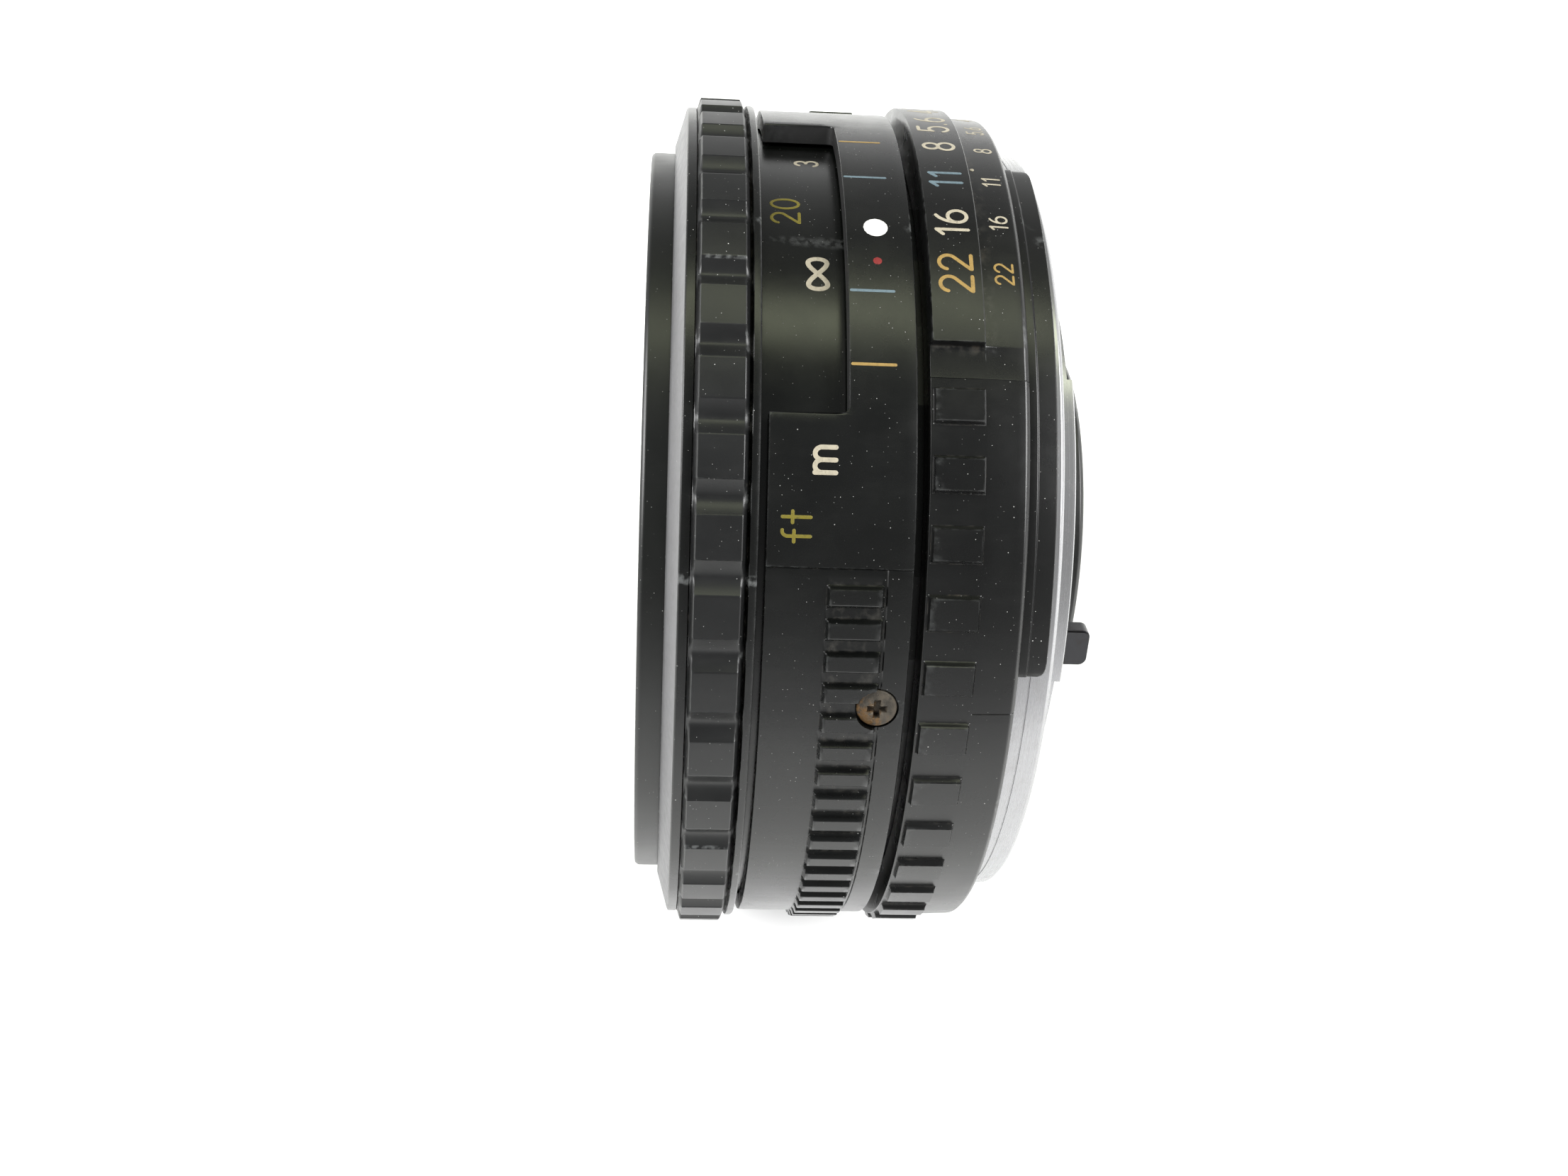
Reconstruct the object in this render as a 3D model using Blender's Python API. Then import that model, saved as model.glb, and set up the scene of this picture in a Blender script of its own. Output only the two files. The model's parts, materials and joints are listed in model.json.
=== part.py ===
"""A 50 mm prime lens for a single-lens reflex camera, built from its real pieces.

The optical axis is Y: the front of the lens faces -Y and the bayonet faces +Y. The origin is
the centre of the bayonet's flange face. +Z runs through the index dot, and angles around the
axis are measured from +Z towards +X. Lengths are in millimetres until they reach a mesh.
"""

from math import asin, atan2, cos, degrees, hypot, radians, sin

import bmesh
import bpy
from mathutils import Matrix, Vector

MM = 0.001
WELD_MM = 1e-4
SHARP = radians(32)
AXIS = Vector((0, 1, 0))

# Axial stations of the outer pieces, measured from the flange face
FRONT_Y = -27.0
PAD_Y = -22.1
FOCUS_FRONT_Y = -25.3
FOCUS_REAR_Y = -19.61
COVER_FRONT_Y = -19.2
COVER_REAR_Y = -9.85
WINDOW_REAR_Y = -14.16
APERTURE_FRONT_Y = -9.08
PANEL_REAR_Y = -5.5
SKIRT_REAR_Y = -2.74
RIDGE_REAR_Y = -0.84

# Radii of the outer pieces
FILTER_R = 27.6
RIM_R = 31.0
PAD_TOP_R = 31.75
COVER_R = 31.0
SLEEVE_R = 29.4
APERTURE_R = 31.05
PANEL_R = 31.6
MOUNT_R = 28.6
NECK_R = 21.9
TAB_R = 23.5
MOUNT_BORE_R = 20.2

# Repeats round the axis, in degrees
FOCUS_PADS = 40
FOCUS_PAD_WIDE = 5.0
FOCUS_PAD_PHASE = 4.1
RIB_PITCH = 4.0
RIB_WIDE = 1.9
RIB_FIRST = 46.0
RIB_HIGH = 0.5
WINDOW_HALF = 25.5
APERTURE_PAD_PITCH = 8.0
APERTURE_PAD_WIDE = 3.9
APERTURE_PAD_FIRST = 24.3
PANEL_FROM = -63.0
PANEL_TO = 16.8
RIDGE_FROM = -16.3
RIDGE_TO = 56.6
COVER_SCREW_ANGLES = (60.5, 180.5, 300.5)

# Iris
BLADES = 7
PIVOT_R = 15.0
DRIVE_ARM = 4.0
BLADE_INNER_R = 9.8
BLADE_OUTER_R = 13.9
BLADE_SPAN = 112.0
BLADE_TURN = 35.0
BLADE_SHUT_AT_REST = 30.2
BLADE_THICK = 0.12
BLADE_STEP = 0.2
BLADE_FRONT_Y = -8.6
PIVOT_FRONT_Y = -9.3
DRIVE_REAR_Y = -6.2

# Focus travel in degrees from the rest pose, and its stop
FOCUS_FROM = -5.2
FOCUS_TO = 133.8
STOP_ANGLE = 120.0
STOP_R = 27.7

# Fasteners, keys and detent
COVER_SCREW_Y = -11.65
MOUNT_SCREW_ANGLES = (30.0, 150.0, 230.0)
MOUNT_SCREW_R = 25.6
KEY_ANGLES = (100.0, 280.0)
DETENT_ANGLE = 330.0
DETENT_Y = -6.5

# Bayonet
TAB_ANGLES = (13.0, 133.0, 253.0)
TAB_WIDE = 52.0
NECK_REAR_Y = 1.95
LOCK_NOTCH_ANGLE = 276.0

# Stop-down linkage
LEVER_ANGLE = 64.0
LEVER_WIDE = 2.8
LEVER_REAR_Y = 4.6
FORK_ANGLE = 240.0
FORK_BAR_WIDE = 1.6

# Circle resolution
ROUND = 40
MEDIUM = 32
COARSE = 24

BLACK_PLASTIC = ((0.012, 0.012, 0.013), 0.32, 0.0)
BLACK_METAL = ((0.010, 0.010, 0.011), 0.45, 0.0)
BLACK_STEEL = ((0.05, 0.05, 0.052), 0.4, 0.8)
ALUMINIUM = ((0.60, 0.60, 0.61), 0.35, 1.0)
BRASS = ((0.66, 0.50, 0.22), 0.35, 1.0)
CHROME = ((0.83, 0.83, 0.84), 0.12, 1.0)
STEEL = ((0.55, 0.54, 0.52), 0.35, 1.0)
RUSTY_STEEL = ((0.22, 0.14, 0.07), 0.6, 0.6)
GLASS = ((0.80, 0.86, 0.90), 0.02, 0.0)


def clear_scene():
    for obj in list(bpy.data.objects):
        bpy.data.objects.remove(obj, do_unlink=True)


def paint(obj, look):
    """Gives the object its own material."""
    colour, roughness, metallic = look
    material = bpy.data.materials.new(obj.name)
    material.use_nodes = True
    shader = material.node_tree.nodes["Principled BSDF"]
    shader.inputs["Base Color"].default_value = (*colour, 1.0)
    shader.inputs["Roughness"].default_value = roughness
    shader.inputs["Metallic"].default_value = metallic
    if look is GLASS:
        shader.inputs["Transmission Weight"].default_value = 1.0
    obj.data.materials.append(material)


def spot(radius, angle, y):
    """The point at this radius and angle round the axis, in millimetres."""
    return Vector((radius * sin(radians(angle)), y, radius * cos(radians(angle))))


def finish_object(name, bm, look):
    """Makes the named object from a mesh in millimetres."""
    bmesh.ops.recalc_face_normals(bm, faces=bm.faces)
    mesh = bpy.data.meshes.new(name)
    bmesh.ops.scale(bm, vec=(MM, MM, MM), verts=bm.verts)
    bm.to_mesh(mesh)
    bm.free()
    mesh.shade_smooth()
    mesh.set_sharp_from_angle(angle=SHARP)
    obj = bpy.data.objects.new(name, mesh)
    bpy.context.scene.collection.objects.link(obj)
    if look is None:
        obj.hide_render = True
        obj.display_type = "WIRE"
    else:
        paint(obj, look)
    return obj


def spun(outline, widths):
    """Turns an outline of (radius, y) points round the axis, through the given angular steps.

    The outline is a closed loop, unless it starts and ends on the axis.
    """
    bm = bmesh.new()
    points = [bm.verts.new((0, y, radius)) for radius, y in outline]
    on_axis = outline[0][0] == 0 and outline[-1][0] == 0
    pairs = zip(points, points[1:] if on_axis else points[1:] + points[:1])
    edges = [bm.edges.new(pair) for pair in pairs]
    last = points + edges
    for width in widths:
        turned_once = bmesh.ops.spin(
            bm,
            geom=last,
            cent=(0, 0, 0),
            axis=(0, 1, 0),
            angle=radians(width),
            steps=1,
            use_duplicate=False,
        )
        last = turned_once["geom_last"]
    bmesh.ops.remove_doubles(bm, verts=bm.verts, dist=WELD_MM)
    bmesh.ops.recalc_face_normals(bm, faces=bm.faces)
    return bm


def turned(name, outline, look, steps=MEDIUM):
    return finish_object(name, spun(outline, [360 / steps] * steps), look)


def sector(name, inner, outer, y_from, y_to, start, end, look=None, steps=6):
    """A closed piece of a ring, between two angles."""
    bm = bmesh.new()
    corners = ((inner, y_from), (outer, y_from), (outer, y_to), (inner, y_to))
    face = bm.faces.new([bm.verts.new(spot(radius, start, y)) for radius, y in corners])
    bmesh.ops.spin(
        bm,
        geom=[face, *face.verts, *face.edges],
        cent=(0, 0, 0),
        axis=(0, 1, 0),
        angle=radians(end - start),
        steps=steps,
        use_duplicate=False,
    )
    bmesh.ops.remove_doubles(bm, verts=bm.verts, dist=WELD_MM)
    return finish_object(name, bm, look)


def pins(name, places, radius, length, along, look=None, sides=10):
    """Closed cylinders of one size, each centred on a place with its axis along a direction."""
    bm = bmesh.new()
    for place, direction in zip(places, along):
        turn = Vector((0, 0, 1)).rotation_difference(direction).to_matrix().to_4x4()
        bmesh.ops.create_cone(
            bm,
            cap_ends=True,
            segments=sides,
            radius1=radius,
            radius2=radius,
            depth=length,
            matrix=Matrix.Translation(place) @ turn,
        )
    return finish_object(name, bm, look)


def block(name, size, radius, angle, y, look=None):
    """A box of (tangential, axial, radial) size, centred at a radius and angle."""
    bm = bmesh.new()
    bmesh.ops.create_cube(bm, size=1)
    bmesh.ops.scale(bm, vec=size, verts=bm.verts)
    bmesh.ops.translate(bm, vec=(0, y, radius), verts=bm.verts)
    bmesh.ops.rotate(
        bm, cent=(0, 0, 0), matrix=Matrix.Rotation(radians(angle), 3, "Y"), verts=bm.verts
    )
    return finish_object(name, bm, look)


def combine(obj, other, operation):
    modifier = obj.modifiers.new(f"{operation.title()} {other.name}", "BOOLEAN")
    modifier.operation = operation
    modifier.solver = "EXACT"
    modifier.object = other
    other.hide_render = True
    other.display_type = "WIRE"


def cut(obj, *cutters):
    for cutter in cutters:
        combine(obj, cutter, "DIFFERENCE")


def add(obj, *others):
    for other in others:
        combine(obj, other, "UNION")


def angle_of(point):
    return degrees(atan2(point.x, point.z)) % 360


def raise_pads(bm, wanted, inward, height):
    """Raises a bevelled pad on each face that is wanted."""
    faces = [face for face in bm.faces if wanted(face.calc_center_median())]
    bmesh.ops.recalc_face_normals(bm, faces=bm.faces)
    bmesh.ops.inset_individual(bm, faces=faces, thickness=inward, depth=height)


def within(angle, start, end):
    return (angle - start) % 360 < (end - start) % 360


def lens_surface(curve_radius, vertex_y, edge_r, steps=3):
    """Points of a spherical surface from the axis outwards; a positive one bulges forwards."""
    side = 1 if curve_radius > 0 else -1
    size = abs(curve_radius)
    points = []
    for i in range(steps + 1):
        slope = asin(edge_r / size) * i / steps
        points.append((size * sin(slope), vertex_y + side * (size - size * cos(slope))))
    points[0] = (0, vertex_y)
    return points


# Pieces that move together


def make_filter_ring():
    thread_r = 25.75
    outline = [
        (FILTER_R - 0.15, FRONT_Y),
        (FILTER_R, FRONT_Y + 0.15),
        (FILTER_R, -19.5),
        (25.6, -19.5),
        (25.6, -22.8),
        (thread_r, -23.0),
        (thread_r, FRONT_Y + 0.5),
        (thread_r + 0.45, FRONT_Y),
    ]
    return turned("filter_ring", outline, BLACK_METAL, ROUND)


def make_name_ring():
    outline = [
        (25.3, -23.2),
        (25.3, -22.9),
        (20.9, -22.8),
        (16.2, -21.6),
        (15.5, -21.6),
        (15.5, -21.9),
        (20.5, -23.2),
    ]
    return turned("name_ring", outline, BLACK_METAL)


# Each glass element: name, then the curvature radius and vertex of its front and rear surfaces,
# the edge radius of each surface, and the radius of its rim
ELEMENTS = (
    ("first_element", 38.0, -22.3, 190.0, -18.9, 15.2, 15.2, 15.2),
    ("second_element", 21.5, -18.7, 52.0, -15.0, 13.0, 13.0, 13.0),
    ("third_element", 75.0, -14.3, 14.6, -13.1, 11.6, 9.2, 11.6),
    ("fourth_element", -17.0, -3.2, 48.0, -2.2, 8.6, 9.4, 9.4),
    ("fifth_element", 48.0, -2.15, -22.0, 1.7, 9.4, 9.4, 9.4),
    ("sixth_element", 120.0, 2.0, -38.0, 4.7, 11.2, 11.2, 11.2),
)


def make_element(name, front, front_y, rear, rear_y, front_edge, rear_edge, rim):
    outline = lens_surface(front, front_y, front_edge)
    if front_edge < rim:
        outline.append((rim, outline[-1][1]))
    back = lens_surface(rear, rear_y, rear_edge)
    if rear_edge < rim:
        outline.append((rim, back[-1][1]))
    outline.extend(reversed(back))
    return turned(name, outline, GLASS, COARSE)


def make_front_retaining_ring():
    outline = [(15.2, -20.9), (15.2, -19.75), (14.4, -19.75), (14.9, -20.9)]
    return turned("front_retaining_ring", outline, BLACK_METAL, COARSE)


def make_front_cell():
    outline = [
        (17.2, -21.3),
        (17.2, -10.9),
        (23.7, -10.9),
        (23.7, -9.7),
        (11.9, -9.7),
        (11.9, -12.9),
        (13.3, -12.9),
        (13.3, -14.6),
        (15.5, -14.6),
        (15.5, -21.3),
    ]
    return turned("front_cell", outline, BLACK_METAL)


def make_front_spacer():
    outline = [(15.2, -17.95), (15.2, -14.9), (13.4, -14.9), (13.4, -17.95)]
    return turned("front_spacer", outline, BLACK_METAL, COARSE)


def make_inner_helicoid():
    outline = [
        (25.3, -22.6),
        (25.3, -7.0),
        (24.0, -7.0),
        (24.0, -11.2),
        (22.8, -11.2),
        (22.8, -12.2),
        (24.0, -12.2),
        (24.0, -22.6),
    ]
    helicoid = turned("inner_helicoid", outline, ALUMINIUM)
    for side, angle in enumerate(KEY_ANGLES):
        slot = block(f"key_slot_{side + 1}", (3.0, 7.4, 4.0), 24.6, angle, -10.3)
        cut(helicoid, slot)
    return helicoid


def make_block_retaining_ring():
    outline = [(23.7, -8.5), (23.7, -7.3), (22.6, -7.3), (22.6, -8.5)]
    return turned("block_retaining_ring", outline, BLACK_METAL, COARSE)


def blade_angles():
    return [360 / BLADES * i + 12 for i in range(BLADES)]


def make_iris_housing():
    outline = [
        (9.6, -9.4),
        (23.7, -9.4),
        (23.7, -8.8),
        (21.5, -8.8),
        (21.5, -5.9),
        (20.6, -5.9),
        (20.6, -8.8),
        (9.6, -8.8),
    ]
    housing = turned("iris_housing", outline, BLACK_METAL)
    places = [spot(PIVOT_R, angle, -9.1) for angle in blade_angles()]
    cut(housing, pins("pivot_holes", places, 0.66, 2.0, [AXIS] * BLADES))
    return housing


def blade_outline():
    """The blade wide open, in (radial, tangential) millimetres; its pivot is on the first axis."""
    swing = radians(-BLADE_TURN / 2)
    reach = Vector((cos(swing), sin(swing)))
    beside = Vector((-sin(swing), cos(swing)))
    pivot = Vector((PIVOT_R, 0))
    drive = pivot + DRIVE_ARM * reach
    steps = 6
    inner = [-6 + (BLADE_SPAN + 6) * i / steps for i in range(steps + 1)]
    outer = [BLADE_SPAN - 3 - (BLADE_SPAN - 17) * i / steps for i in range(steps + 1)]
    points = [Vector((cos(radians(a)), sin(radians(a)))) * BLADE_INNER_R for a in inner]
    points += [Vector((cos(radians(a)), sin(radians(a)))) * BLADE_OUTER_R for a in outer]
    points += [pivot + 1.2 * beside, drive + beside, drive + 0.8 * reach + 0.5 * beside]
    points += [drive + 0.8 * reach - 0.5 * beside, drive - beside, pivot - 1.2 * beside]
    return points, pivot, drive


def make_blade(index, angle):
    """An iris blade, as shut as it is at rest: its pivot pin in front, its drive pin behind."""
    points, pivot, drive = blade_outline()
    front_y = BLADE_FRONT_Y + BLADE_STEP * index
    rear_y = front_y + BLADE_THICK
    bm = bmesh.new()
    face = bm.faces.new([bm.verts.new((p.y, front_y, p.x)) for p in points])
    walls = bmesh.ops.extrude_face_region(bm, geom=[face])
    moved = [item for item in walls["geom"] if isinstance(item, bmesh.types.BMVert)]
    bmesh.ops.translate(bm, vec=(0, BLADE_THICK, 0), verts=moved)
    blade = finish_object(f"iris_blade_{index + 1}", bm, BLACK_STEEL)
    pivot_mid = (PIVOT_FRONT_Y + rear_y) / 2
    pivot_place = [Vector((pivot.y, pivot_mid, pivot.x))]
    pivot_long = rear_y - PIVOT_FRONT_Y
    pivot_pin = pins(f"pivot_pin_{index + 1}", pivot_place, 0.5, pivot_long, [AXIS])
    drive_mid = (front_y + DRIVE_REAR_Y) / 2
    drive_place = [Vector((drive.y, drive_mid, drive.x))]
    drive_long = DRIVE_REAR_Y - front_y
    drive_pin = pins(f"drive_pin_{index + 1}", drive_place, 0.45, drive_long, [AXIS])
    shut = (
        Matrix.Translation((0, 0, PIVOT_R))
        @ Matrix.Rotation(radians(BLADE_SHUT_AT_REST), 4, "Y")
        @ Matrix.Translation((0, 0, -PIVOT_R))
    )
    place = Matrix.Rotation(radians(angle), 4, "Y")
    millimetres = Matrix.Scale(MM, 4)
    move = millimetres @ place @ shut @ millimetres.inverted()
    pivot_at = Matrix.Translation(spot(PIVOT_R, angle, 0) * MM)
    for piece in (blade, pivot_pin, drive_pin):
        piece.data.transform(pivot_at.inverted() @ move)
        piece.matrix_world = pivot_at
    add(blade, pivot_pin, drive_pin)
    return blade


def drive_pin_spot(shut):
    """Radius and angle of a drive pin, counted from its blade's pivot angle."""
    turn = radians(shut - BLADE_TURN / 2)
    reach = PIVOT_R + DRIVE_ARM * cos(turn)
    side = DRIVE_ARM * sin(turn)
    return hypot(reach, side), degrees(atan2(side, reach))


def make_iris_driver_ring():
    outline = [(10.4, -6.9), (20.3, -6.9), (20.3, -6.1), (10.4, -6.1)]
    driver = turned("iris_driver_ring", outline, BLACK_STEEL)
    radius, offset = drive_pin_spot(BLADE_SHUT_AT_REST)
    for index, angle in enumerate(blade_angles()):
        size = (1.4, 3.0, 1.9)
        cut(driver, block(f"drive_slot_{index + 1}", size, radius, angle + offset, -6.5))
    bar = block("driver_bar", (FORK_BAR_WIDE, 6.6, 1.3), 18.1, FORK_ANGLE, -3.3)
    add(driver, bar)
    return driver


def make_rear_cell():
    outline = [
        (14.0, -5.0),
        (14.0, 4.6),
        (13.7, 4.9),
        (12.3, 4.9),
        (11.5, 4.4),
        (11.5, 0.3),
        (9.7, 0.3),
        (9.7, -5.8),
        (20.3, -5.8),
        (20.3, -5.0),
    ]
    cell = turned("rear_cell", outline, BLACK_METAL)
    cut(cell, sector("fork_window", 16.8, 19.4, -7.0, -4.0, FORK_ANGLE - 16, FORK_ANGLE + 16))
    return cell


def make_rear_spacer():
    outline = [(11.2, 0.6), (11.2, 2.2), (10.1, 2.2), (10.1, 0.6)]
    return turned("rear_spacer", outline, BLACK_METAL, COARSE)


def make_rear_retaining_ring():
    outline = [(11.2, 3.5), (11.2, 4.5), (10.6, 4.5), (10.6, 3.5)]
    return turned("rear_retaining_ring", outline, BLACK_METAL, COARSE)


# Pieces that turn with the focusing ring


def make_focus_ring():
    half = 1.64
    outline = [
        (RIM_R, PAD_Y - 2.3),
        (RIM_R, PAD_Y - half),
        (RIM_R, PAD_Y + half),
        (31.27, PAD_Y + 1.9),
        (31.27, FOCUS_REAR_Y),
        (29.7, FOCUS_REAR_Y),
        (29.7, -22.3),
        (28.8, -22.3),
        (28.8, -24.9),
        (27.9, -24.9),
        (27.9, FOCUS_FRONT_Y),
        (28.1, FOCUS_FRONT_Y),
    ]
    pitch = 360 / FOCUS_PADS
    widths = [FOCUS_PAD_WIDE, pitch - FOCUS_PAD_WIDE] * FOCUS_PADS
    bm = spun(outline, widths)
    start = FOCUS_PAD_PHASE - FOCUS_PAD_WIDE / 2
    bmesh.ops.rotate(
        bm, cent=(0, 0, 0), matrix=Matrix.Rotation(radians(start), 3, "Y"), verts=bm.verts
    )

    def wanted(centre):
        on_band = abs(centre.y - PAD_Y) < half and hypot(centre.x, centre.z) > 30
        return on_band and (angle_of(centre) - start) % pitch < FOCUS_PAD_WIDE

    raise_pads(bm, wanted, 0.24, PAD_TOP_R - RIM_R)
    return finish_object("focus_ring", bm, BLACK_PLASTIC)


def make_distance_scale():
    outline = [(SLEEVE_R, -22.0), (SLEEVE_R, -13.7), (28.8, -13.7), (28.8, -22.0)]
    return turned("distance_scale", outline, BLACK_METAL, ROUND)


def make_focus_helicoid():
    outline = [
        (28.5, -24.6),
        (28.5, -13.0),
        (26.7, -13.0),
        (26.7, -7.6),
        (25.6, -7.6),
        (25.6, -19.0),
        (27.9, -19.0),
        (27.9, -24.6),
    ]
    helicoid = turned("focus_helicoid", outline, BRASS)
    play = degrees(0.6 / 27.6) + 0.4
    start = STOP_ANGLE - FOCUS_TO - play
    end = STOP_ANGLE - FOCUS_FROM + play
    cut(helicoid, sector("stop_slot", 26.75, 29.5, -14.4, -12.0, start, end, steps=16))
    return helicoid


def make_helicoid_nut():
    outline = [(27.3, -9.3), (27.3, -7.9), (27.0, -7.9), (27.0, -9.3)]
    return turned("helicoid_nut", outline, BRASS)


# Fixed pieces


def cover_widths():
    """Angular steps of the cover, so that each rib lies on a face of its own."""
    ribs = int(round((360 - 2 * RIB_FIRST) / RIB_PITCH)) + 1
    widths = []
    for _ in range(ribs - 1):
        widths += [RIB_WIDE, RIB_PITCH - RIB_WIDE]
    widths.append(RIB_WIDE)
    plain = 360 - sum(widths)
    return widths + [plain / 16] * 16


def make_fixed_cover():
    rib_front = -15.25
    rib_rear = -11.65
    outline = [
        (COVER_R, COVER_FRONT_Y),
        (COVER_R, rib_front),
        (COVER_R, rib_rear),
        (COVER_R, COVER_REAR_Y),
        (29.7, COVER_REAR_Y),
        (29.7, COVER_FRONT_Y),
    ]
    bm = spun(outline, cover_widths())
    start = RIB_FIRST - RIB_WIDE / 2
    bmesh.ops.rotate(
        bm, cent=(0, 0, 0), matrix=Matrix.Rotation(radians(start), 3, "Y"), verts=bm.verts
    )

    def wanted(centre):
        on_band = rib_front < centre.y < rib_rear and hypot(centre.x, centre.z) > 30
        angle = angle_of(centre)
        in_ribs = within(angle, start, 360 - start)
        return on_band and in_ribs and (angle - start) % RIB_PITCH < RIB_WIDE

    raise_pads(bm, wanted, 0.14, RIB_HIGH)
    cover = finish_object("fixed_cover", bm, BLACK_PLASTIC)
    window = sector(
        "window_cut", 28.0, 33.0, -21.0, WINDOW_REAR_Y, -WINDOW_HALF, WINDOW_HALF, steps=14
    )
    cut(cover, window)
    places = [spot(31.0, angle, COVER_SCREW_Y) for angle in COVER_SCREW_ANGLES]
    outward = [spot(1, angle, 0) for angle in COVER_SCREW_ANGLES]
    cut(cover, pins("head_recesses", places, 1.45, 1.5, outward, sides=16))
    cut(cover, pins("shank_holes", places, 0.95, 6.0, outward))
    return cover


def make_cover_screw(index, angle):
    """A cross-head screw whose head sits in a recess of the cover."""
    outline = [
        (0, 27.6),
        (0.6, 27.6),
        (0.6, 30.55),
        (1.15, 30.55),
        (1.15, 30.85),
        (0.85, 31.05),
        (0, 31.1),
    ]
    along_y = Matrix.Translation(Vector((0, COVER_SCREW_Y, 0)) * MM)
    place = along_y @ Matrix.Rotation(radians(angle), 4, "Y")
    return make_screw(f"cover_screw_{index + 1}", outline, RUSTY_STEEL, (0.36, 1.35, 0.5), place)


def make_screw(name, outline, look, cross, place):
    """A screw with a cross of (width, length, depth) in its head.

    Its outline holds (radius, height) points, and place carries its own Z axis to where it sits.
    """
    bm = bmesh.new()
    points = [bm.verts.new((radius, 0, height)) for radius, height in outline]
    edges = [bm.edges.new(pair) for pair in zip(points, points[1:])]
    bmesh.ops.spin(
        bm, geom=points + edges, cent=(0, 0, 0), axis=(0, 0, 1), angle=radians(360), steps=10
    )
    bmesh.ops.remove_doubles(bm, verts=bm.verts, dist=WELD_MM)
    top = max(height for _, height in outline)
    screw = finish_object(name, bm, look)
    wide, long, deep = cross
    for number, sizes in enumerate(((wide, long), (long, wide))):
        slot = bmesh.new()
        bmesh.ops.create_cube(slot, size=1)
        bmesh.ops.scale(slot, vec=(*sizes, deep * 2), verts=slot.verts)
        bmesh.ops.translate(slot, vec=(0, 0, top), verts=slot.verts)
        cutter = finish_object(f"{name}_slot_{number + 1}", slot, None)
        cutter.matrix_world = place
        cut(screw, cutter)
    screw.matrix_world = place
    return screw


def make_mount_screw(index, angle):
    outline = [(0, -5.0), (0.7, -5.0), (0.7, -1.2), (1.7, -0.25), (1.7, -0.1), (0, -0.1)]
    stand = Matrix.Translation(spot(MOUNT_SCREW_R, angle, 0) * MM)
    place = stand @ Matrix.Rotation(radians(-90), 4, "X")
    return make_screw(f"mount_screw_{index + 1}", outline, STEEL, (0.4, 2.0, 0.6), place)


def make_main_barrel():
    outline = [
        (29.4, -12.7),
        (29.4, -9.95),
        (28.2, -9.95),
        (28.2, -3.4),
        (23.4, -3.4),
        (23.4, -5.2),
        (27.6, -5.2),
        (27.6, -9.6),
        (27.0, -9.6),
        (27.0, -12.7),
    ]
    barrel = turned("main_barrel", outline, ALUMINIUM)
    outward = [spot(1, angle, 0) for angle in COVER_SCREW_ANGLES]
    places = [spot(29.0, angle, COVER_SCREW_Y) for angle in COVER_SCREW_ANGLES]
    cut(barrel, pins("cover_screw_holes", places, 0.95, 5.0, outward))
    tapped = [spot(MOUNT_SCREW_R, angle, -4.3) for angle in MOUNT_SCREW_ANGLES]
    cut(barrel, pins("mount_screw_holes", tapped, 1.05, 3.0, [AXIS] * 3))
    stop_place = [spot(STOP_R, STOP_ANGLE, -12.0)]
    cut(barrel, pins("stop_pin_hole", stop_place, 0.85, 3.0, [AXIS]))
    cut(barrel, pins("ball_hole", [spot(28.0, DETENT_ANGLE, DETENT_Y)], 1.0, 3.0,
                     [spot(1, DETENT_ANGLE, 0)], sides=14))
    return barrel


def make_bayonet_mount():
    outline = [
        (27.9, -3.1),
        (MOUNT_R, -2.7),
        (MOUNT_R, -0.25),
        (MOUNT_R - 0.25, 0),
        (NECK_R, 0),
        (NECK_R, NECK_REAR_Y),
        (MOUNT_BORE_R, NECK_REAR_Y),
        (MOUNT_BORE_R, -1.6),
        (23.1, -1.6),
        (23.1, -3.1),
    ]
    mount = turned("bayonet_mount", outline, CHROME, ROUND)
    for index, start in enumerate(TAB_ANGLES):
        name = f"bayonet_tab_{index + 1}"
        add(mount, sector(name, 21.0, TAB_R, 0.9, NECK_REAR_Y, start, start + TAB_WIDE, steps=8))
    places = [spot(MOUNT_SCREW_R, angle, -1.5) for angle in MOUNT_SCREW_ANGLES]
    along = [AXIS] * 3
    cut(mount, pins("mount_shank_holes", places, 1.05, 4.0, along))
    heads = [spot(MOUNT_SCREW_R, angle, 0) for angle in MOUNT_SCREW_ANGLES]
    cut(mount, pins("mount_head_holes", heads, 2.05, 3.0, along, sides=16))
    cut(mount, block("lock_notch", (2.2, 2.4, 3.6), 26.6, LOCK_NOTCH_ANGLE, 0))
    return mount


def make_rear_baffle():
    outline = [(19.9, 0.5), (19.9, 1.2), (14.5, 1.2), (14.5, 0.5)]
    baffle = turned("rear_baffle", outline, BLACK_METAL)
    lever_slot = sector(
        "lever_slot", 17.6, 21.0, 0.0, 2.0, LEVER_ANGLE - 13, LEVER_ANGLE + 13
    )
    cut(baffle, lever_slot)
    return baffle


def make_guide_key(index, angle):
    """An L-shaped key: its foot stands on the main barrel, its tongue slides in the helicoid."""
    key = block(f"guide_key_{index + 1}", (2.4, 8.0, 1.1), 24.65, angle, -9.5, ALUMINIUM)
    foot = block(f"key_foot_{index + 1}", (2.4, 1.5, 3.0), 25.6, angle, -6.25)
    add(key, foot)
    return key


def make_focus_stop_pin():
    place = [spot(STOP_R, STOP_ANGLE, -12.6)]
    return pins("focus_stop_pin", place, 0.55, 2.6, [AXIS], STEEL)


def make_detent_ball():
    bm = bmesh.new()
    bmesh.ops.create_icosphere(bm, subdivisions=2, radius=0.75)
    bmesh.ops.translate(bm, vec=spot(27.6, DETENT_ANGLE, DETENT_Y), verts=bm.verts)
    return finish_object("detent_ball", bm, STEEL)


def make_detent_spring():
    start = DETENT_ANGLE - 14
    return sector("detent_spring", 26.55, 26.75, DETENT_Y - 0.8, DETENT_Y + 0.8,
                  start, start + 28, STEEL, steps=8)


# Pieces that turn behind the cover


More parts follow.
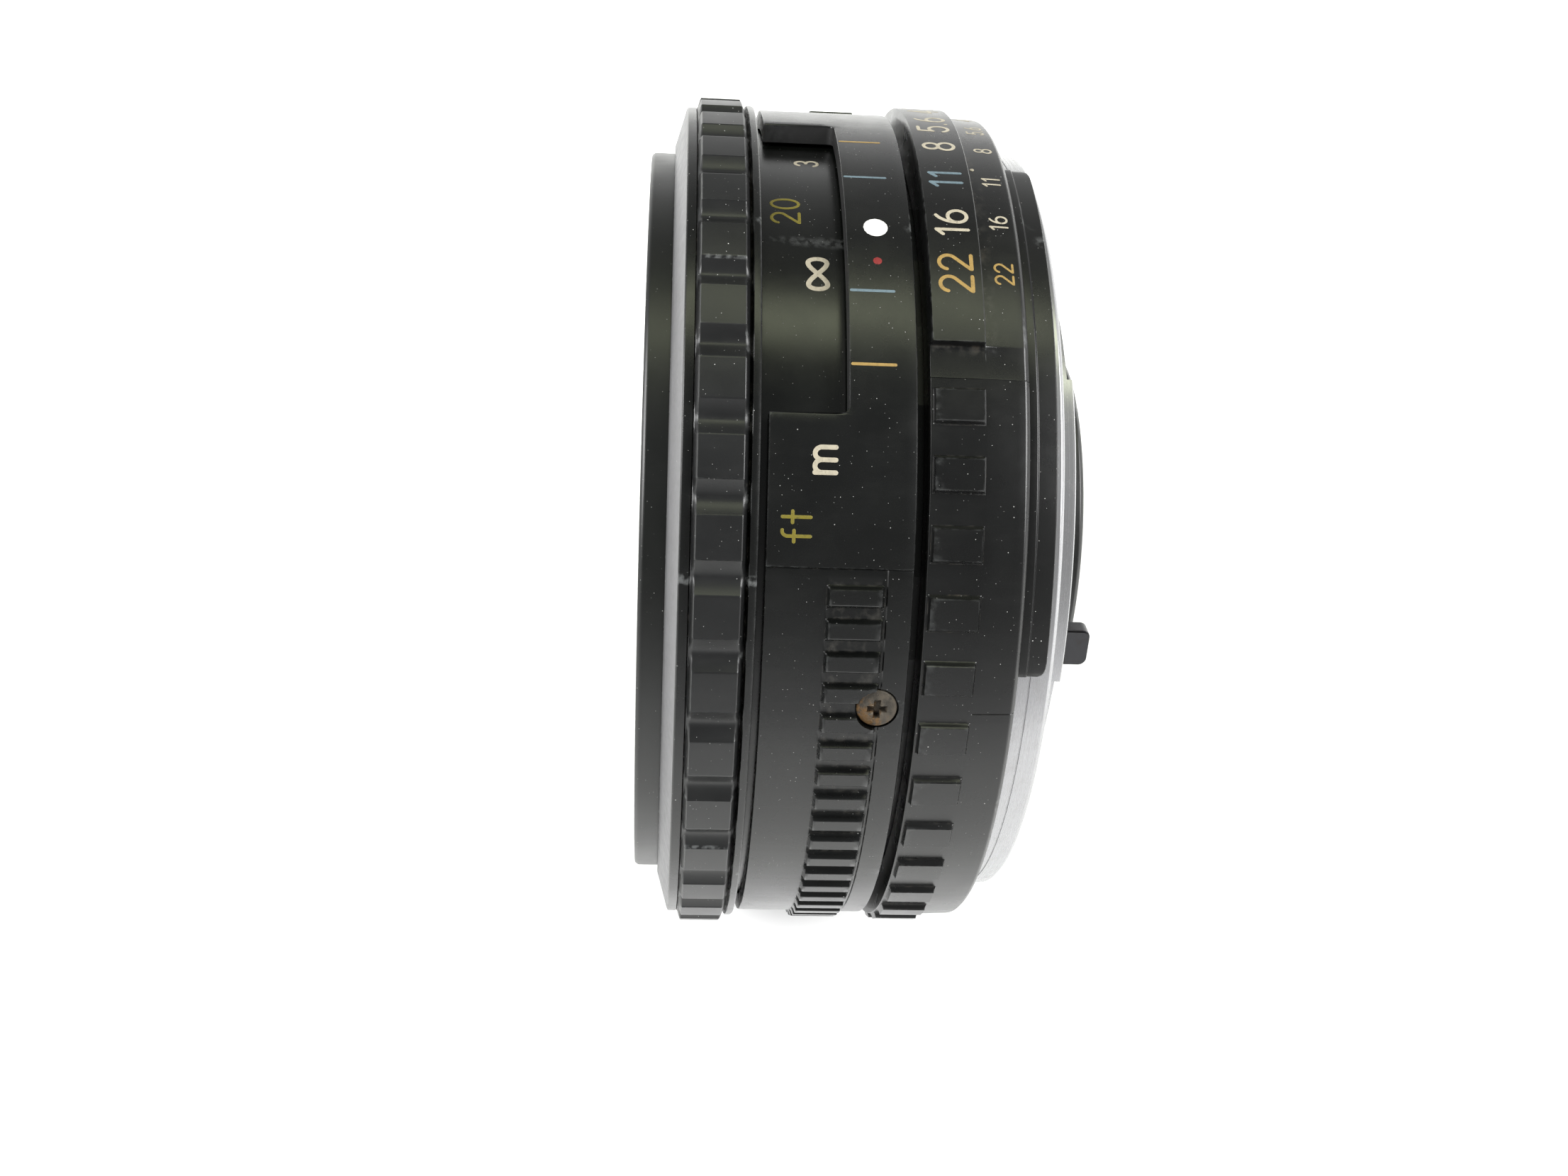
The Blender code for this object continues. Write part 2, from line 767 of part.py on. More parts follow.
def aperture_widths():
    pads = [APERTURE_PAD_WIDE, APERTURE_PAD_PITCH - APERTURE_PAD_WIDE]
    count = aperture_pad_count()
    widths = pads * count
    left = 360 - sum(widths)
    return widths + [left / 18] * 18


def aperture_pad_count():
    room = 360 + PANEL_FROM - 4 - APERTURE_PAD_FIRST
    return int(room / APERTURE_PAD_PITCH) + 1


def make_aperture_ring():
    pad_front = -8.85
    outline = [
        (APERTURE_R, APERTURE_FRONT_Y),
        (APERTURE_R, pad_front),
        (APERTURE_R, PANEL_REAR_Y),
        (APERTURE_R - 0.1, -3.0),
        (APERTURE_R - 0.4, SKIRT_REAR_Y),
        (28.95, SKIRT_REAR_Y),
        (28.95, -3.0),
        (28.5, -3.0),
        (28.5, APERTURE_FRONT_Y),
    ]
    bm = spun(outline, aperture_widths())
    start = APERTURE_PAD_FIRST - APERTURE_PAD_WIDE / 2
    bmesh.ops.rotate(
        bm, cent=(0, 0, 0), matrix=Matrix.Rotation(radians(start), 3, "Y"), verts=bm.verts
    )
    last = start + aperture_pad_count() * APERTURE_PAD_PITCH

    def wanted(centre):
        on_band = pad_front < centre.y < PANEL_REAR_Y and hypot(centre.x, centre.z) > 30.5
        angle = angle_of(centre)
        in_pads = within(angle, start, last)
        return on_band and in_pads and (angle - start) % APERTURE_PAD_PITCH < APERTURE_PAD_WIDE

    raise_pads(bm, wanted, 0.2, 0.45)
    ring = finish_object("aperture_ring", bm, BLACK_PLASTIC)
    panel = sector(
        "number_panel", 30.0, PANEL_R, APERTURE_FRONT_Y + 0.05, PANEL_REAR_Y,
        PANEL_FROM, PANEL_TO, steps=22,
    )
    ridge = sector(
        "coupling_ridge", 28.95, 30.25, -3.3, RIDGE_REAR_Y, RIDGE_FROM, RIDGE_TO, steps=20
    )
    add(ring, panel, ridge)
    return ring


def make_stop_down_ring():
    """The ring inside the mount: its lever sticks out at the rear, its fork drives the iris."""
    outline = [(22.8, -3.1), (22.8, -1.9), (20.7, -1.9), (20.7, -3.1)]
    ring = turned("stop_down_ring", outline, BLACK_STEEL, COARSE)
    tab_long = LEVER_REAR_Y + 3.1
    tab_mid = LEVER_REAR_Y - tab_long / 2
    lever = block("lever_tab", (LEVER_WIDE, tab_long, 1.4), 18.95, LEVER_ANGLE, tab_mid)
    bridge = block("lever_bridge", (LEVER_WIDE, 1.2, 3.2), 20.2, LEVER_ANGLE, -2.5)
    add(ring, lever, bridge)
    half = FORK_BAR_WIDE / 2 + 0.3 + 0.6
    for number, side in enumerate((-1, 1)):
        angle = FORK_ANGLE + side * degrees(half / 18.1)
        prong = block(f"fork_prong_{number + 1}", (1.2, 3.7, 1.3), 18.1, angle, -3.75)
        arm = block(f"fork_arm_{number + 1}", (1.2, 1.2, 4.0), 19.45, angle, -2.5)
        add(ring, prong, arm)
    return ring


def main():
    clear_scene()
    make_filter_ring()
    make_name_ring()
    for element in ELEMENTS:
        make_element(*element)
    make_front_retaining_ring()
    make_front_cell()
    make_front_spacer()
    make_inner_helicoid()
    make_block_retaining_ring()
    make_iris_housing()
    for index, angle in enumerate(blade_angles()):
        make_blade(index, angle)
    make_iris_driver_ring()
    make_rear_cell()
    make_rear_spacer()
    make_rear_retaining_ring()
    make_focus_ring()
    make_distance_scale()
    make_focus_helicoid()
    make_helicoid_nut()
    make_fixed_cover()
    make_main_barrel()
    make_bayonet_mount()
    make_rear_baffle()
    for index, angle in enumerate(COVER_SCREW_ANGLES):
        make_cover_screw(index, angle)
    for index, angle in enumerate(MOUNT_SCREW_ANGLES):
        make_mount_screw(index, angle)
    for index, angle in enumerate(KEY_ANGLES):
        make_guide_key(index, angle)
    make_focus_stop_pin()
    make_detent_ball()
    make_detent_spring()
    make_aperture_ring()
    make_stop_down_ring()


main()
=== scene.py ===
"""Looks for the 50 mm prime lens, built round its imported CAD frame.

The optical axis is Y: the front faces -Y, the bayonet +Y. +Z runs through the index dot, and
angles round the axis are in degrees from +Z towards +X. Shapes are in millimetres until they
become a mesh, which is in metres.
"""

import json
import math

import bmesh
import bpy
import numpy as np
from mathutils import Matrix, Vector

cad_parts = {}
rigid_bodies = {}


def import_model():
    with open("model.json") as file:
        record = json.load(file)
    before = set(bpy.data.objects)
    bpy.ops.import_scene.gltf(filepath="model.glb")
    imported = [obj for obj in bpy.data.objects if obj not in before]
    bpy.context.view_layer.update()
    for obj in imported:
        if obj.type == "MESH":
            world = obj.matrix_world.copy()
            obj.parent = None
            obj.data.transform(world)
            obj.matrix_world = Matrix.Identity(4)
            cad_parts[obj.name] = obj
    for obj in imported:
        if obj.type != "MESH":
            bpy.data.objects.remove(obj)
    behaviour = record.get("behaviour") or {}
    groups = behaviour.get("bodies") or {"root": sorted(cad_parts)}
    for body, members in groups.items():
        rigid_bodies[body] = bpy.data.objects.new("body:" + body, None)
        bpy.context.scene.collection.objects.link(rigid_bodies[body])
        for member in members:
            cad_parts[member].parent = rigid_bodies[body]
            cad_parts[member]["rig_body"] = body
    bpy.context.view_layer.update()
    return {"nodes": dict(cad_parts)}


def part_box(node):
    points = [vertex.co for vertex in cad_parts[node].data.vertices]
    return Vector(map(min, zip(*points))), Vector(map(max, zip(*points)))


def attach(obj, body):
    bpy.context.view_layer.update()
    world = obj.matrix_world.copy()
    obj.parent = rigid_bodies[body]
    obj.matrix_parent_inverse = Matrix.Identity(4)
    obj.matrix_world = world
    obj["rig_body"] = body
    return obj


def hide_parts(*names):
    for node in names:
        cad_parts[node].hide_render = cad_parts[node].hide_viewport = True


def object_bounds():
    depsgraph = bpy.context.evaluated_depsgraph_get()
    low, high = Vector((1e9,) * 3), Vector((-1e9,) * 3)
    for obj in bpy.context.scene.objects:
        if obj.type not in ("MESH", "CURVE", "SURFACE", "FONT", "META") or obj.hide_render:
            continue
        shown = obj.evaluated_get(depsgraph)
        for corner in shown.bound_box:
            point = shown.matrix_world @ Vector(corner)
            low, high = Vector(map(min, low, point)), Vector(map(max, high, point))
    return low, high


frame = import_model()

MM = 0.001
ROUND = 256
REARWARD = Vector((0, 1, 0))

# Repeats and spans round the axis, as the CAD has them
FOCUS_PADS, FOCUS_PAD_PHASE = 40, 4.1
RIB_PITCH, RIB_FIRST = 4.0, 46.0
WINDOW_HALF = 25.5
SEAM = 43.4
APERTURE_PAD_PITCH, APERTURE_PAD_FIRST, APERTURE_PADS = 8.0, 24.3, 34
PANEL_FROM, PANEL_TO = -63.0, 16.8
RIDGE_FROM, RIDGE_TO = -16.3, 56.6
COVER_SCREW_ANGLES, COVER_SCREW_Y = (60.5, 180.5, 300.5), -11.65
MOUNT_SCREW_ANGLES, MOUNT_SCREW_R = (30.0, 150.0, 230.0), 25.6
TAB_ANGLES, TAB_WIDE = (13.0, 133.0, 253.0), 52.0
LOCK_NOTCH_ANGLE = 276.0
PIVOT_R = 15.0
LEVER_ANGLE, FORK_ANGLE = 64.0, 240.0
BLADES, BLADE_PHASE = 7, 12.0

# Radii of the faces that carry the marks
COVER_R, SLEEVE_R, PANEL_R, SKIRT_R = 31.0, 29.4, 31.58, 31.05


def span(node):
    """Front and rear of a CAD node along the optical axis, in millimetres."""
    low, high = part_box(node)
    return low.y / MM, high.y / MM


# ---------------- mesh helpers


def spot(radius, angle, y):
    a = math.radians(angle)
    return Vector((radius * math.sin(a), y, radius * math.cos(a)))


def smoothstep(x):
    x = np.clip(x, 0, 1)
    return x * x * (3 - 2 * x)


def rounded(points, steps=3):
    """Rounds the corners of a closed outline of (radius, y) or (radius, y, fillet) points."""
    pts = np.array([p[:2] for p in points], float)
    out = []
    for i, point in enumerate(points):
        fillet = (*point, 0.0)[2]
        here, before, after = pts[i], pts[i - 1], pts[(i + 1) % len(pts)]
        if fillet <= 0:
            out.append(here)
            continue
        back, ahead = before - here, after - here
        reach = min(fillet, 0.49 * np.linalg.norm(back), 0.49 * np.linalg.norm(ahead))
        start = here + back / np.linalg.norm(back) * reach
        end = here + ahead / np.linalg.norm(ahead) * reach
        for t in np.linspace(0, 1, steps + 1):
            out.append((1 - t) ** 2 * start + 2 * t * (1 - t) * here + t * t * end)
    return np.array(out)


def link(name, data):
    obj = bpy.data.objects.new(name, data)
    bpy.context.scene.collection.objects.link(obj)
    return obj


def smooth(mesh, sharp=32.0):
    mesh.shade_smooth()
    mesh.set_sharp_from_angle(angle=math.radians(sharp))


def mesh_object(name, co, faces, sharp=32.0):
    """An object from millimetre points, welded, with its normals outward."""
    mesh = bpy.data.meshes.new(name)
    mesh.from_pydata((np.asarray(co) * MM).tolist(), [], [list(map(int, f)) for f in faces])
    bm = bmesh.new()
    bm.from_mesh(mesh)
    bmesh.ops.remove_doubles(bm, verts=bm.verts, dist=2e-7)
    bmesh.ops.dissolve_degenerate(bm, dist=1e-7, edges=bm.edges)
    bmesh.ops.recalc_face_normals(bm, faces=bm.faces)
    bm.to_mesh(mesh)
    bm.free()
    smooth(mesh, sharp)
    return link(name, mesh)


def ring(name, angles, rows, shape=None, sharp=32.0):
    """Sweeps a closed outline of (radius, y) rows round the axis, stopping at the angles.

    shape, if given, takes and returns the arrays of angle, radius and y.
    """
    angle, radius = np.meshgrid(np.asarray(angles, float), rows[:, 0], indexing="ij")
    y = np.broadcast_to(rows[:, 1], angle.shape).copy()
    if shape:
        angle, radius, y = shape(angle, radius.copy(), y)
    a = np.radians(angle)
    co = np.stack([radius * np.sin(a), y, radius * np.cos(a)], -1).reshape(-1, 3)
    n, m = angle.shape
    i, j = np.meshgrid(np.arange(n), np.arange(m), indexing="ij")
    i2, j2 = (i + 1) % n, (j + 1) % m
    faces = np.stack([i * m + j, i2 * m + j, i2 * m + j2, i * m + j2], -1).reshape(-1, 4)
    return mesh_object(name, co, faces, sharp)


def turned(name, points, segments=ROUND, steps=3, sharp=32.0):
    angles = np.arange(segments) * 360 / segments
    return ring(name, angles, rounded(points, steps), sharp=sharp)


def stations(*groups, fill=1.5):
    """Sorted angles in 0 to 360 that hold every given one, with no gap wider than fill."""
    wanted = np.unique(np.round(np.concatenate([np.asarray(g, float) % 360 for g in groups]), 4))
    wanted = wanted[np.append(np.diff(wanted) > 2e-3, wanted[0] + 360 - wanted[-1] > 2e-3)]
    out = []
    for here, after in zip(wanted, np.append(wanted[1:], wanted[0] + 360)):
        count = max(1, int(math.ceil((after - here) / fill)))
        out.extend(here + (after - here) * k / count for k in range(count))
    return np.array(out)


def signed(angle):
    return (angle + 180) % 360 - 180


def from_bmesh(bm, name):
    mesh = bpy.data.meshes.new(name)
    bm.to_mesh(mesh)
    bm.free()
    smooth(mesh)
    return link(name, mesh)


def solid_from(bm, name):
    """An object from a bmesh in millimetres, with its normals outward."""
    bmesh.ops.recalc_face_normals(bm, faces=bm.faces)
    bmesh.ops.scale(bm, vec=(MM,) * 3, verts=bm.verts)
    return from_bmesh(bm, name)


def aimed(outward):
    """The turn that takes +Z to outward."""
    return Vector((0, 0, 1)).rotation_difference(outward).to_matrix().to_4x4()


def strip_faces(n, m):
    """Faces of a closed bar: n stations of m points each, with both ends capped."""
    faces = []
    for i in range(n - 1):
        for j in range(m):
            k = (j + 1) % m
            faces.append((i * m + j, i * m + k, (i + 1) * m + k, (i + 1) * m + j))
    return faces + [tuple(range(m)), tuple((n - 1) * m + j for j in range(m))]


def pin(name, place, outward, radius, long, segments=48):
    """A closed round pin centred on place along outward."""
    bm = bmesh.new()
    bmesh.ops.create_cone(bm, cap_ends=True, segments=segments, radius1=radius, radius2=radius, depth=long)
    bm.transform(Matrix.Translation(place) @ aimed(outward))
    return solid_from(bm, name)


def brick(name, size, matrix):
    bm = bmesh.new()
    bmesh.ops.create_cube(bm, size=1)
    bmesh.ops.scale(bm, vec=size, verts=bm.verts)
    bm.transform(matrix)
    return solid_from(bm, name)


def combine(obj, tools, operation="DIFFERENCE", sharp=32.0):
    """Cuts the tools out of obj, or adds them to it, and removes the tools."""
    for tool in tools:
        modifier = obj.modifiers.new("combine", "BOOLEAN")
        modifier.operation = operation
        modifier.solver = "EXACT"
        modifier.object = tool
    graph = bpy.context.evaluated_depsgraph_get()
    made = bpy.data.meshes.new_from_object(obj.evaluated_get(graph))
    obj.modifiers.clear()
    obj.data = made
    for tool in tools:
        bpy.data.objects.remove(tool, do_unlink=True)
    smooth(obj.data, sharp)
    return obj


def join(name, parts):
    """One object from several."""
    bm = bmesh.new()
    for part in parts:
        part.data.transform(part.matrix_world)
        bm.from_mesh(part.data)
        bpy.data.objects.remove(part, do_unlink=True)
    return from_bmesh(bm, name)


# ---------------- materials


class Look:
    """A Principled material and short calls for the nodes that feed it."""

    def __init__(self, name, **values):
        self.material = bpy.data.materials.new(name)
        self.material.use_nodes = True
        self.tree = self.material.node_tree
        self.shader = self.tree.nodes["Principled BSDF"]
        for key, value in values.items():
            self.shader.inputs[key.replace("_", " ").title().replace("Ior", "IOR")].default_value = value
        coord = self.node("ShaderNodeTexCoord")
        self.place = self.vector("SCALE", coord.outputs["Object"], scale=1000.0)

    def node(self, kind, inputs=(), **settings):
        made = self.tree.nodes.new(kind)
        for key, value in settings.items():
            setattr(made, key, value)
        self.fill(made.inputs, inputs)
        return made

    def fill(self, sockets, values):
        """Links each socket to another or sets its value; None leaves it alone."""
        for key, value in dict(values).items():
            if isinstance(value, bpy.types.NodeSocket):
                self.tree.links.new(value, sockets[key])
            elif value is not None:
                sockets[key].default_value = value

    def vector(self, operation, a, b=None, scale=None, output=0):
        made = self.node("ShaderNodeVectorMath", {0: a, 1: b, "Scale": scale}, operation=operation)
        return made.outputs[output]

    def math(self, operation, a, b=0.0, clamp=False):
        return self.node("ShaderNodeMath", {0: a, 1: b}, operation=operation, use_clamp=clamp).outputs[0]

    def times(self, a, b):
        return self.math("MULTIPLY", a, b)

    def plus(self, a, b):
        """The sum, no higher than 1."""
        return self.math("ADD", a, b, True)

    def most(self, first, *others):
        for other in others:
            first = self.math("MAXIMUM", first, other)
        return first

    def noise(self, scale, detail=3.0, stretch=None, roughness=0.5):
        where = self.vector("MULTIPLY", self.place, stretch) if stretch else self.place
        inputs = {"Vector": where, "Scale": scale, "Detail": detail, "Roughness": roughness}
        return self.node("ShaderNodeTexNoise", inputs).outputs["Fac"]

    def fit(self, value, low, high, to_low=0.0, to_high=1.0):
        inputs = enumerate((value, low, high, to_low, to_high))
        return self.node("ShaderNodeMapRange", inputs, clamp=True).outputs["Result"]

    def cloud(self, noise, *limits):
        """Noise, from the arguments of its call, fitted to the limits."""
        return self.fit(self.noise(*noise), *limits)

    def mix(self, amount, a, b):
        a, b = ((*c, 1) if isinstance(c, tuple) else c for c in (a, b))
        return self.node("ShaderNodeMix", {0: amount, 6: a, 7: b}, data_type="RGBA").outputs[2]

    def coat(self, base, color, mask, amount):
        """Color laid over base where the mask is, times the amount."""
        return self.mix(self.times(mask, amount), base, color)

    def radial(self):
        """Distance from the optical axis, and the place along it."""
        x, y, z = self.node("ShaderNodeSeparateXYZ", {0: self.place}).outputs
        square = self.math("ADD", self.math("POWER", x, 2.0), self.math("POWER", z, 2.0))
        return self.math("SQRT", square), y

    def specks(self, cell, size, share, stretch=None, turn=0.0):
        """Dust: round dots, or short fibres where stretched, in a share of cells of that size."""
        where = self.place
        if stretch:
            inputs = {"Vector": where, "Rotation": (turn, turn * 1.7, turn * 0.6), "Scale": stretch}
            where = self.node("ShaderNodeMapping", inputs).outputs[0]
        made = self.node("ShaderNodeTexVoronoi", {"Vector": where, "Scale": 1 / cell})
        split = self.node("ShaderNodeSeparateColor", {0: made.outputs["Color"]})
        chosen = self.math("LESS_THAN", split.outputs[0], share)
        reach = self.fit(split.outputs[1], 0, 1, size / cell * 0.35, size / cell)
        near = self.math("SUBTRACT", 1.0, self.math("DIVIDE", made.outputs["Distance"], reach), True)
        return self.times(chosen, self.fit(near, 0.0, 0.5))

    def edges(self, low, high):
        """1 on outward edges, 0 on flats."""
        return self.fit(self.node("ShaderNodeNewGeometry").outputs["Pointiness"], low, high)

    def hollows(self, low=0.42, high=0.48):
        """1 in inward corners, 0 on flats."""
        return self.fit(self.node("ShaderNodeNewGeometry").outputs["Pointiness"], low, high, 1.0, 0.0)

    def bump(self, height, distance, strength=1.0, under=None):
        inputs = {"Strength": strength, "Distance": distance * MM, "Height": height, "Normal": under}
        return self.node("ShaderNodeBump", inputs).outputs[0]

    def finish(self, color=None, roughness=None, normal=None):
        self.fill(self.shader.inputs, {"Base Color": color, "Roughness": roughness, "Normal": normal})
        return self.material


def black_look(name, tone, rough, dust=1.0, grain=0.0016, grime=0.0, wear=0.8):
    """Moulded or anodised black: faint grain, rubbed edges, dust and a few fibres."""
    look = Look(name, ior=1.5)
    broad = look.noise(0.22, 4)
    fine = look.noise(7.0, 3)
    base = look.mix(look.fit(broad, 0.35, 0.7), tone, tuple(1.5 * c for c in tone))
    smear = look.cloud((0.5, 5, (1, 0.35, 1), 0.65), 0.5, 0.75)
    base = look.coat(base, (0.30, 0.29, 0.26), smear, 0.004 * dust)
    patch = look.cloud((0.33, 3), 0.40, 0.66, 0.25, 1.0)
    dots = look.times(look.specks(0.62, 0.056, 0.26), patch)
    tiny = look.times(look.specks(0.27, 0.036, 0.36), patch)
    hair = look.specks(1.5, 0.045, 0.08, (1.0, 0.16, 1.0), 0.7)
    thread = look.specks(1.7, 0.045, 0.05, (0.24, 1.0, 1.0), 2.1)
    lint = look.times(look.most(dots, tiny, hair, thread), min(1.0, 0.75 * dust))
    edge = look.edges(0.53, 0.63)
    ragged = look.cloud((2.2, 4), 0.42, 0.62)
    worn = look.times(look.times(edge, ragged), wear)
    base = look.coat(base, (0.26, 0.27, 0.27), worn, 0.35)
    settled = look.times(look.hollows(), look.cloud((1.6, 4), 0.48, 0.7))
    base = look.coat(base, (0.32, 0.30, 0.26), settled, 0.14 * dust)
    if grime:
        spots = look.times(settled, look.cloud((0.9, 3), 0.55, 0.68))
        base = look.coat(base, (0.085, 0.062, 0.038), spots, grime)
    base = look.mix(lint, base, (0.62, 0.62, 0.60))
    shine = look.cloud((0.4, 4), 0.3, 0.7, rough - 0.02, rough + 0.03)
    shine = look.plus(shine, look.times(lint, 0.5))
    shine = look.plus(shine, look.times(smear, 0.03))
    under = look.bump(fine, grain)
    under = look.bump(look.noise(22.0, 2), grain, 1.0, under)
    return look.finish(base, shine, look.bump(lint, 0.02, 0.6, under))


def trim_look(name):
    """The satin bevel at the front of the focus ring: its light grey is a painted reflection, and its
    darkening towards the inner edge is painted shade.
    """
    look = Look(name, ior=1.5, metallic=0.15)
    # painted shade: darker towards the inner edge, where the filter ring shades the bevel
    inner = look.fit(look.radial()[0], 27.9, 28.7)
    # painted reflection: the light grey stands in for the light that the bevel reflects
    base = look.mix(inner, (0.03, 0.03, 0.03), (0.140, 0.139, 0.143))
    dirt = look.cloud((0.7, 5, None, 0.6), 0.5, 0.75)
    base = look.coat(base, (0.06, 0.06, 0.055), dirt, 0.15)
    base = look.mix(look.specks(0.6, 0.05, 0.15), base, (0.4, 0.4, 0.39))
    shine = look.cloud((1.5, 4), 0.3, 0.7, 0.38, 0.5)
    return look.finish(base, shine, look.bump(look.noise(12.0, 3), 0.004))


def metal_look(name, color, rough, dirt=0.25, dirt_color=(0.05, 0.04, 0.03), marks=1.0, metallic=1.0):
    """Machined metal, with turning lines round the axis, small scratches and stains."""
    look = Look(name, metallic=metallic)
    turned_at = look.node("ShaderNodeCombineXYZ", enumerate(look.radial())).outputs[0]
    inputs = {"Vector": turned_at, "Scale": 9.0, "Detail": 4.0}
    lines = look.node("ShaderNodeTexNoise", inputs).outputs["Fac"]
    stain = look.cloud((0.8, 5, None, 0.6), 0.52, 0.75)
    settled = look.times(look.hollows(), 0.8)
    marks_at = look.most(look.specks(1.3, 0.03, 0.3, (1.0, 0.16, 1.0), 0.4),
                         look.specks(1.4, 0.03, 0.3, (0.16, 1.0, 1.0), 1.3))
    foul = look.times(look.plus(stain, settled), dirt)
    base = look.mix(foul, color, dirt_color)
    base = look.coat(base, tuple(0.45 * c for c in color), marks_at, 0.35 * marks)
    shine = look.fit(lines, 0.3, 0.7, rough - 0.04, rough + 0.08)
    shine = look.plus(shine, look.times(foul, 0.5))
    shine = look.plus(shine, look.times(marks_at, 0.2 * marks))
    under = look.bump(lines, 0.0022)
    return look.finish(base, shine, look.bump(marks_at, -0.01, 0.5 * marks, under))


def rust_look(name, centre, toward):
    """A plated steel head gone grey brown, with ochre rust that gathers on one side."""
    look = Look(name, metallic=0.35)
    blotch = look.cloud((1.6, 5, None, 0.62), 0.38, 0.62)
    offset = look.vector("SUBTRACT", look.place, tuple(centre))
    side = look.fit(look.vector("DOT_PRODUCT", offset, tuple(toward), output="Value"), -0.9, 1.3)
    bloom = look.math("ADD", look.noise(2.4, 5, None, 0.62), look.times(side, 0.42))
    bloom = look.fit(bloom, 0.70, 0.86)
    base = look.mix(blotch, (0.034, 0.029, 0.022), (0.085, 0.070, 0.052))
    base = look.coat(base, (0.135, 0.065, 0.012), bloom, 0.75)
    rub = look.times(look.edges(0.53, 0.62), look.cloud((3.0, 3), 0.4, 0.6))
    base = look.coat(base, (0.22, 0.20, 0.16), rub, 0.5)
    deep = look.hollows(0.40, 0.48)
    base = look.coat(base, (0.008, 0.006, 0.004), deep, 0.8)
    shine = look.fit(blotch, 0, 1, 0.38, 0.75)
    under = look.bump(look.noise(4.5, 5, None, 0.65), 0.07)
    return look.finish(base, shine, look.bump(bloom, 0.03, 0.7, under))


def paint_look(name, color, grime=0.35):
    """Paint wiped into an engraving: matt, a little uneven, dirty in places."""
    look = Look(name, ior=1.45)
    uneven = look.cloud((2.6, 4, None, 0.6), 0.35, 0.7)
    base = look.mix(uneven, color, tuple(0.8 * c for c in color))
    dark = look.cloud((5.5, 4, None, 0.6), 0.56, 0.68)
    base = look.coat(base, tuple(0.18 * c for c in color), dark, grime)
    shine = look.fit(uneven, 0, 1, 0.42, 0.62)
    return look.finish(base, shine, look.bump(look.noise(9.0, 3), 0.012))


def glass_look(name, film):
    """Coated optical glass with a faint haze of dust."""
    look = Look(name, ior=1.62, transmission_weight=1.0)
    look.shader.inputs["Specular Tint"].default_value = (*film, 1)
    haze = look.cloud((0.35, 5, None, 0.6), 0.5, 0.8)
    dots = look.specks(0.9, 0.05, 0.12)
    base = look.mix(look.times(dots, 0.5), (0.97, 0.98, 0.97), (0.55, 0.55, 0.55))
    shine = look.plus(look.fit(haze, 0, 1, 0.004, 0.05), look.times(dots, 0.3))
    return look.finish(base, shine, look.bump(dots, 0.004, 0.4))


PLASTIC = black_look("black_plastic", (0.0014, 0.0016, 0.0015), 0.26)
GRIMY = black_look("black_plastic_grimy", (0.0014, 0.0015, 0.0015), 0.28, 1.2, grime=0.5)
GRIP = black_look("black_grip", (0.0034, 0.0036, 0.0038), 0.36, 1.5)
SLEEVE = black_look("black_satin", (0.0016, 0.0019, 0.0016), 0.22, 0.8)
ANODISED = black_look("black_anodised", (0.0022, 0.0027, 0.0022), 0.33, 0.8, 0.0012)
INNER_BLACK = black_look("matt_black", (0.006, 0.006, 0.006), 0.55, 0.35, 0.003, wear=0.3)
# painted reflection and painted shade for the front bevel of the focus ring
TRIM_PAINTED_REFLECTION = trim_look("trim_painted_reflection")
BLACK_STEEL = metal_look("black_steel", (0.055, 0.055, 0.058), 0.36, 0.3)
ALUMINIUM = metal_look("aluminium", (0.66, 0.66, 0.67), 0.30)
BRASS = metal_look("brass", (0.62, 0.44, 0.17), 0.30, 0.35, (0.09, 0.05, 0.02))
CHROME = metal_look("chrome", (0.385, 0.385, 0.395), 0.24, 0.12, (0.14, 0.12, 0.10), 0.5, 0.70)
STEEL = metal_look("steel", (0.50, 0.49, 0.47), 0.32, 0.35, (0.08, 0.05, 0.03))
WHITE = paint_look("paint_white", (0.35, 0.315, 0.24))
DOT_WHITE = paint_look("paint_index", (0.62, 0.62, 0.59), 0.08)
YELLOW = paint_look("paint_yellow", (0.140, 0.115, 0.010), 0.5)
ORANGE = paint_look("paint_orange", (0.27, 0.175, 0.05))
BLUE = paint_look("paint_blue", (0.105, 0.150, 0.175))
RED = paint_look("paint_red", (0.17, 0.012, 0.012))


def fit_out(obj, look, body, slot, *nodes):
    """Gives a piece its material and body, and hides the CAD nodes that it stands for; slot is not used."""
    obj.data.materials.clear()
    obj.data.materials.append(look)
    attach(obj, body)
    if nodes:
        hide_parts(*nodes)
    return obj


def add_look(obj, look, chosen):
    """A further material for the faces that chosen picks by radius, y and angle of their centre."""
    obj.data.materials.append(look)
    for face in obj.data.polygons:
        at = face.center / MM
        if chosen(math.hypot(at.x, at.z), at.y, math.degrees(math.atan2(at.x, at.z))):
            face.material_index = len(obj.data.materials) - 1


# ---------------- filter ring and name ring


def make_filter_ring():
    front, rear = span("filter_ring")
    pitch, deep = 0.75, 0.22
    thread = np.arange(-23.25, -26.35, -pitch / 6)
    points = [
        (27.42, front, 0.06), (27.6, front + 0.22, 0.12), (27.6, rear, 0.05), (25.6, rear, 0.05),
        (25.6, -22.8, 0.03), (25.75, -23.0, 0.03),
    ]
    points += [(25.75, y) for y in thread]
    points += [(25.75, -26.5), (26.2, front, 0.1)]

    def cut_thread(angle, radius, y):
        here = (radius > 25.7) & (radius < 25.8) & (y < -23.1) & (y > -26.45)
        wave = np.abs(((y / pitch - angle / 360) % 1) - 0.5) * 2
        ends = np.clip(np.minimum(-23.15 - y, y + 26.45) / 0.3, 0, 1)
        return angle, np.where(here, 25.75 + deep * wave * ends, radius), y

    angles = np.arange(180) * 2.0
    obj = ring("filter_ring_threaded", angles, rounded(points), cut_thread, 25.0)
    fit_out(obj, ANODISED, "lens_unit", "black_metal", "filter_ring")


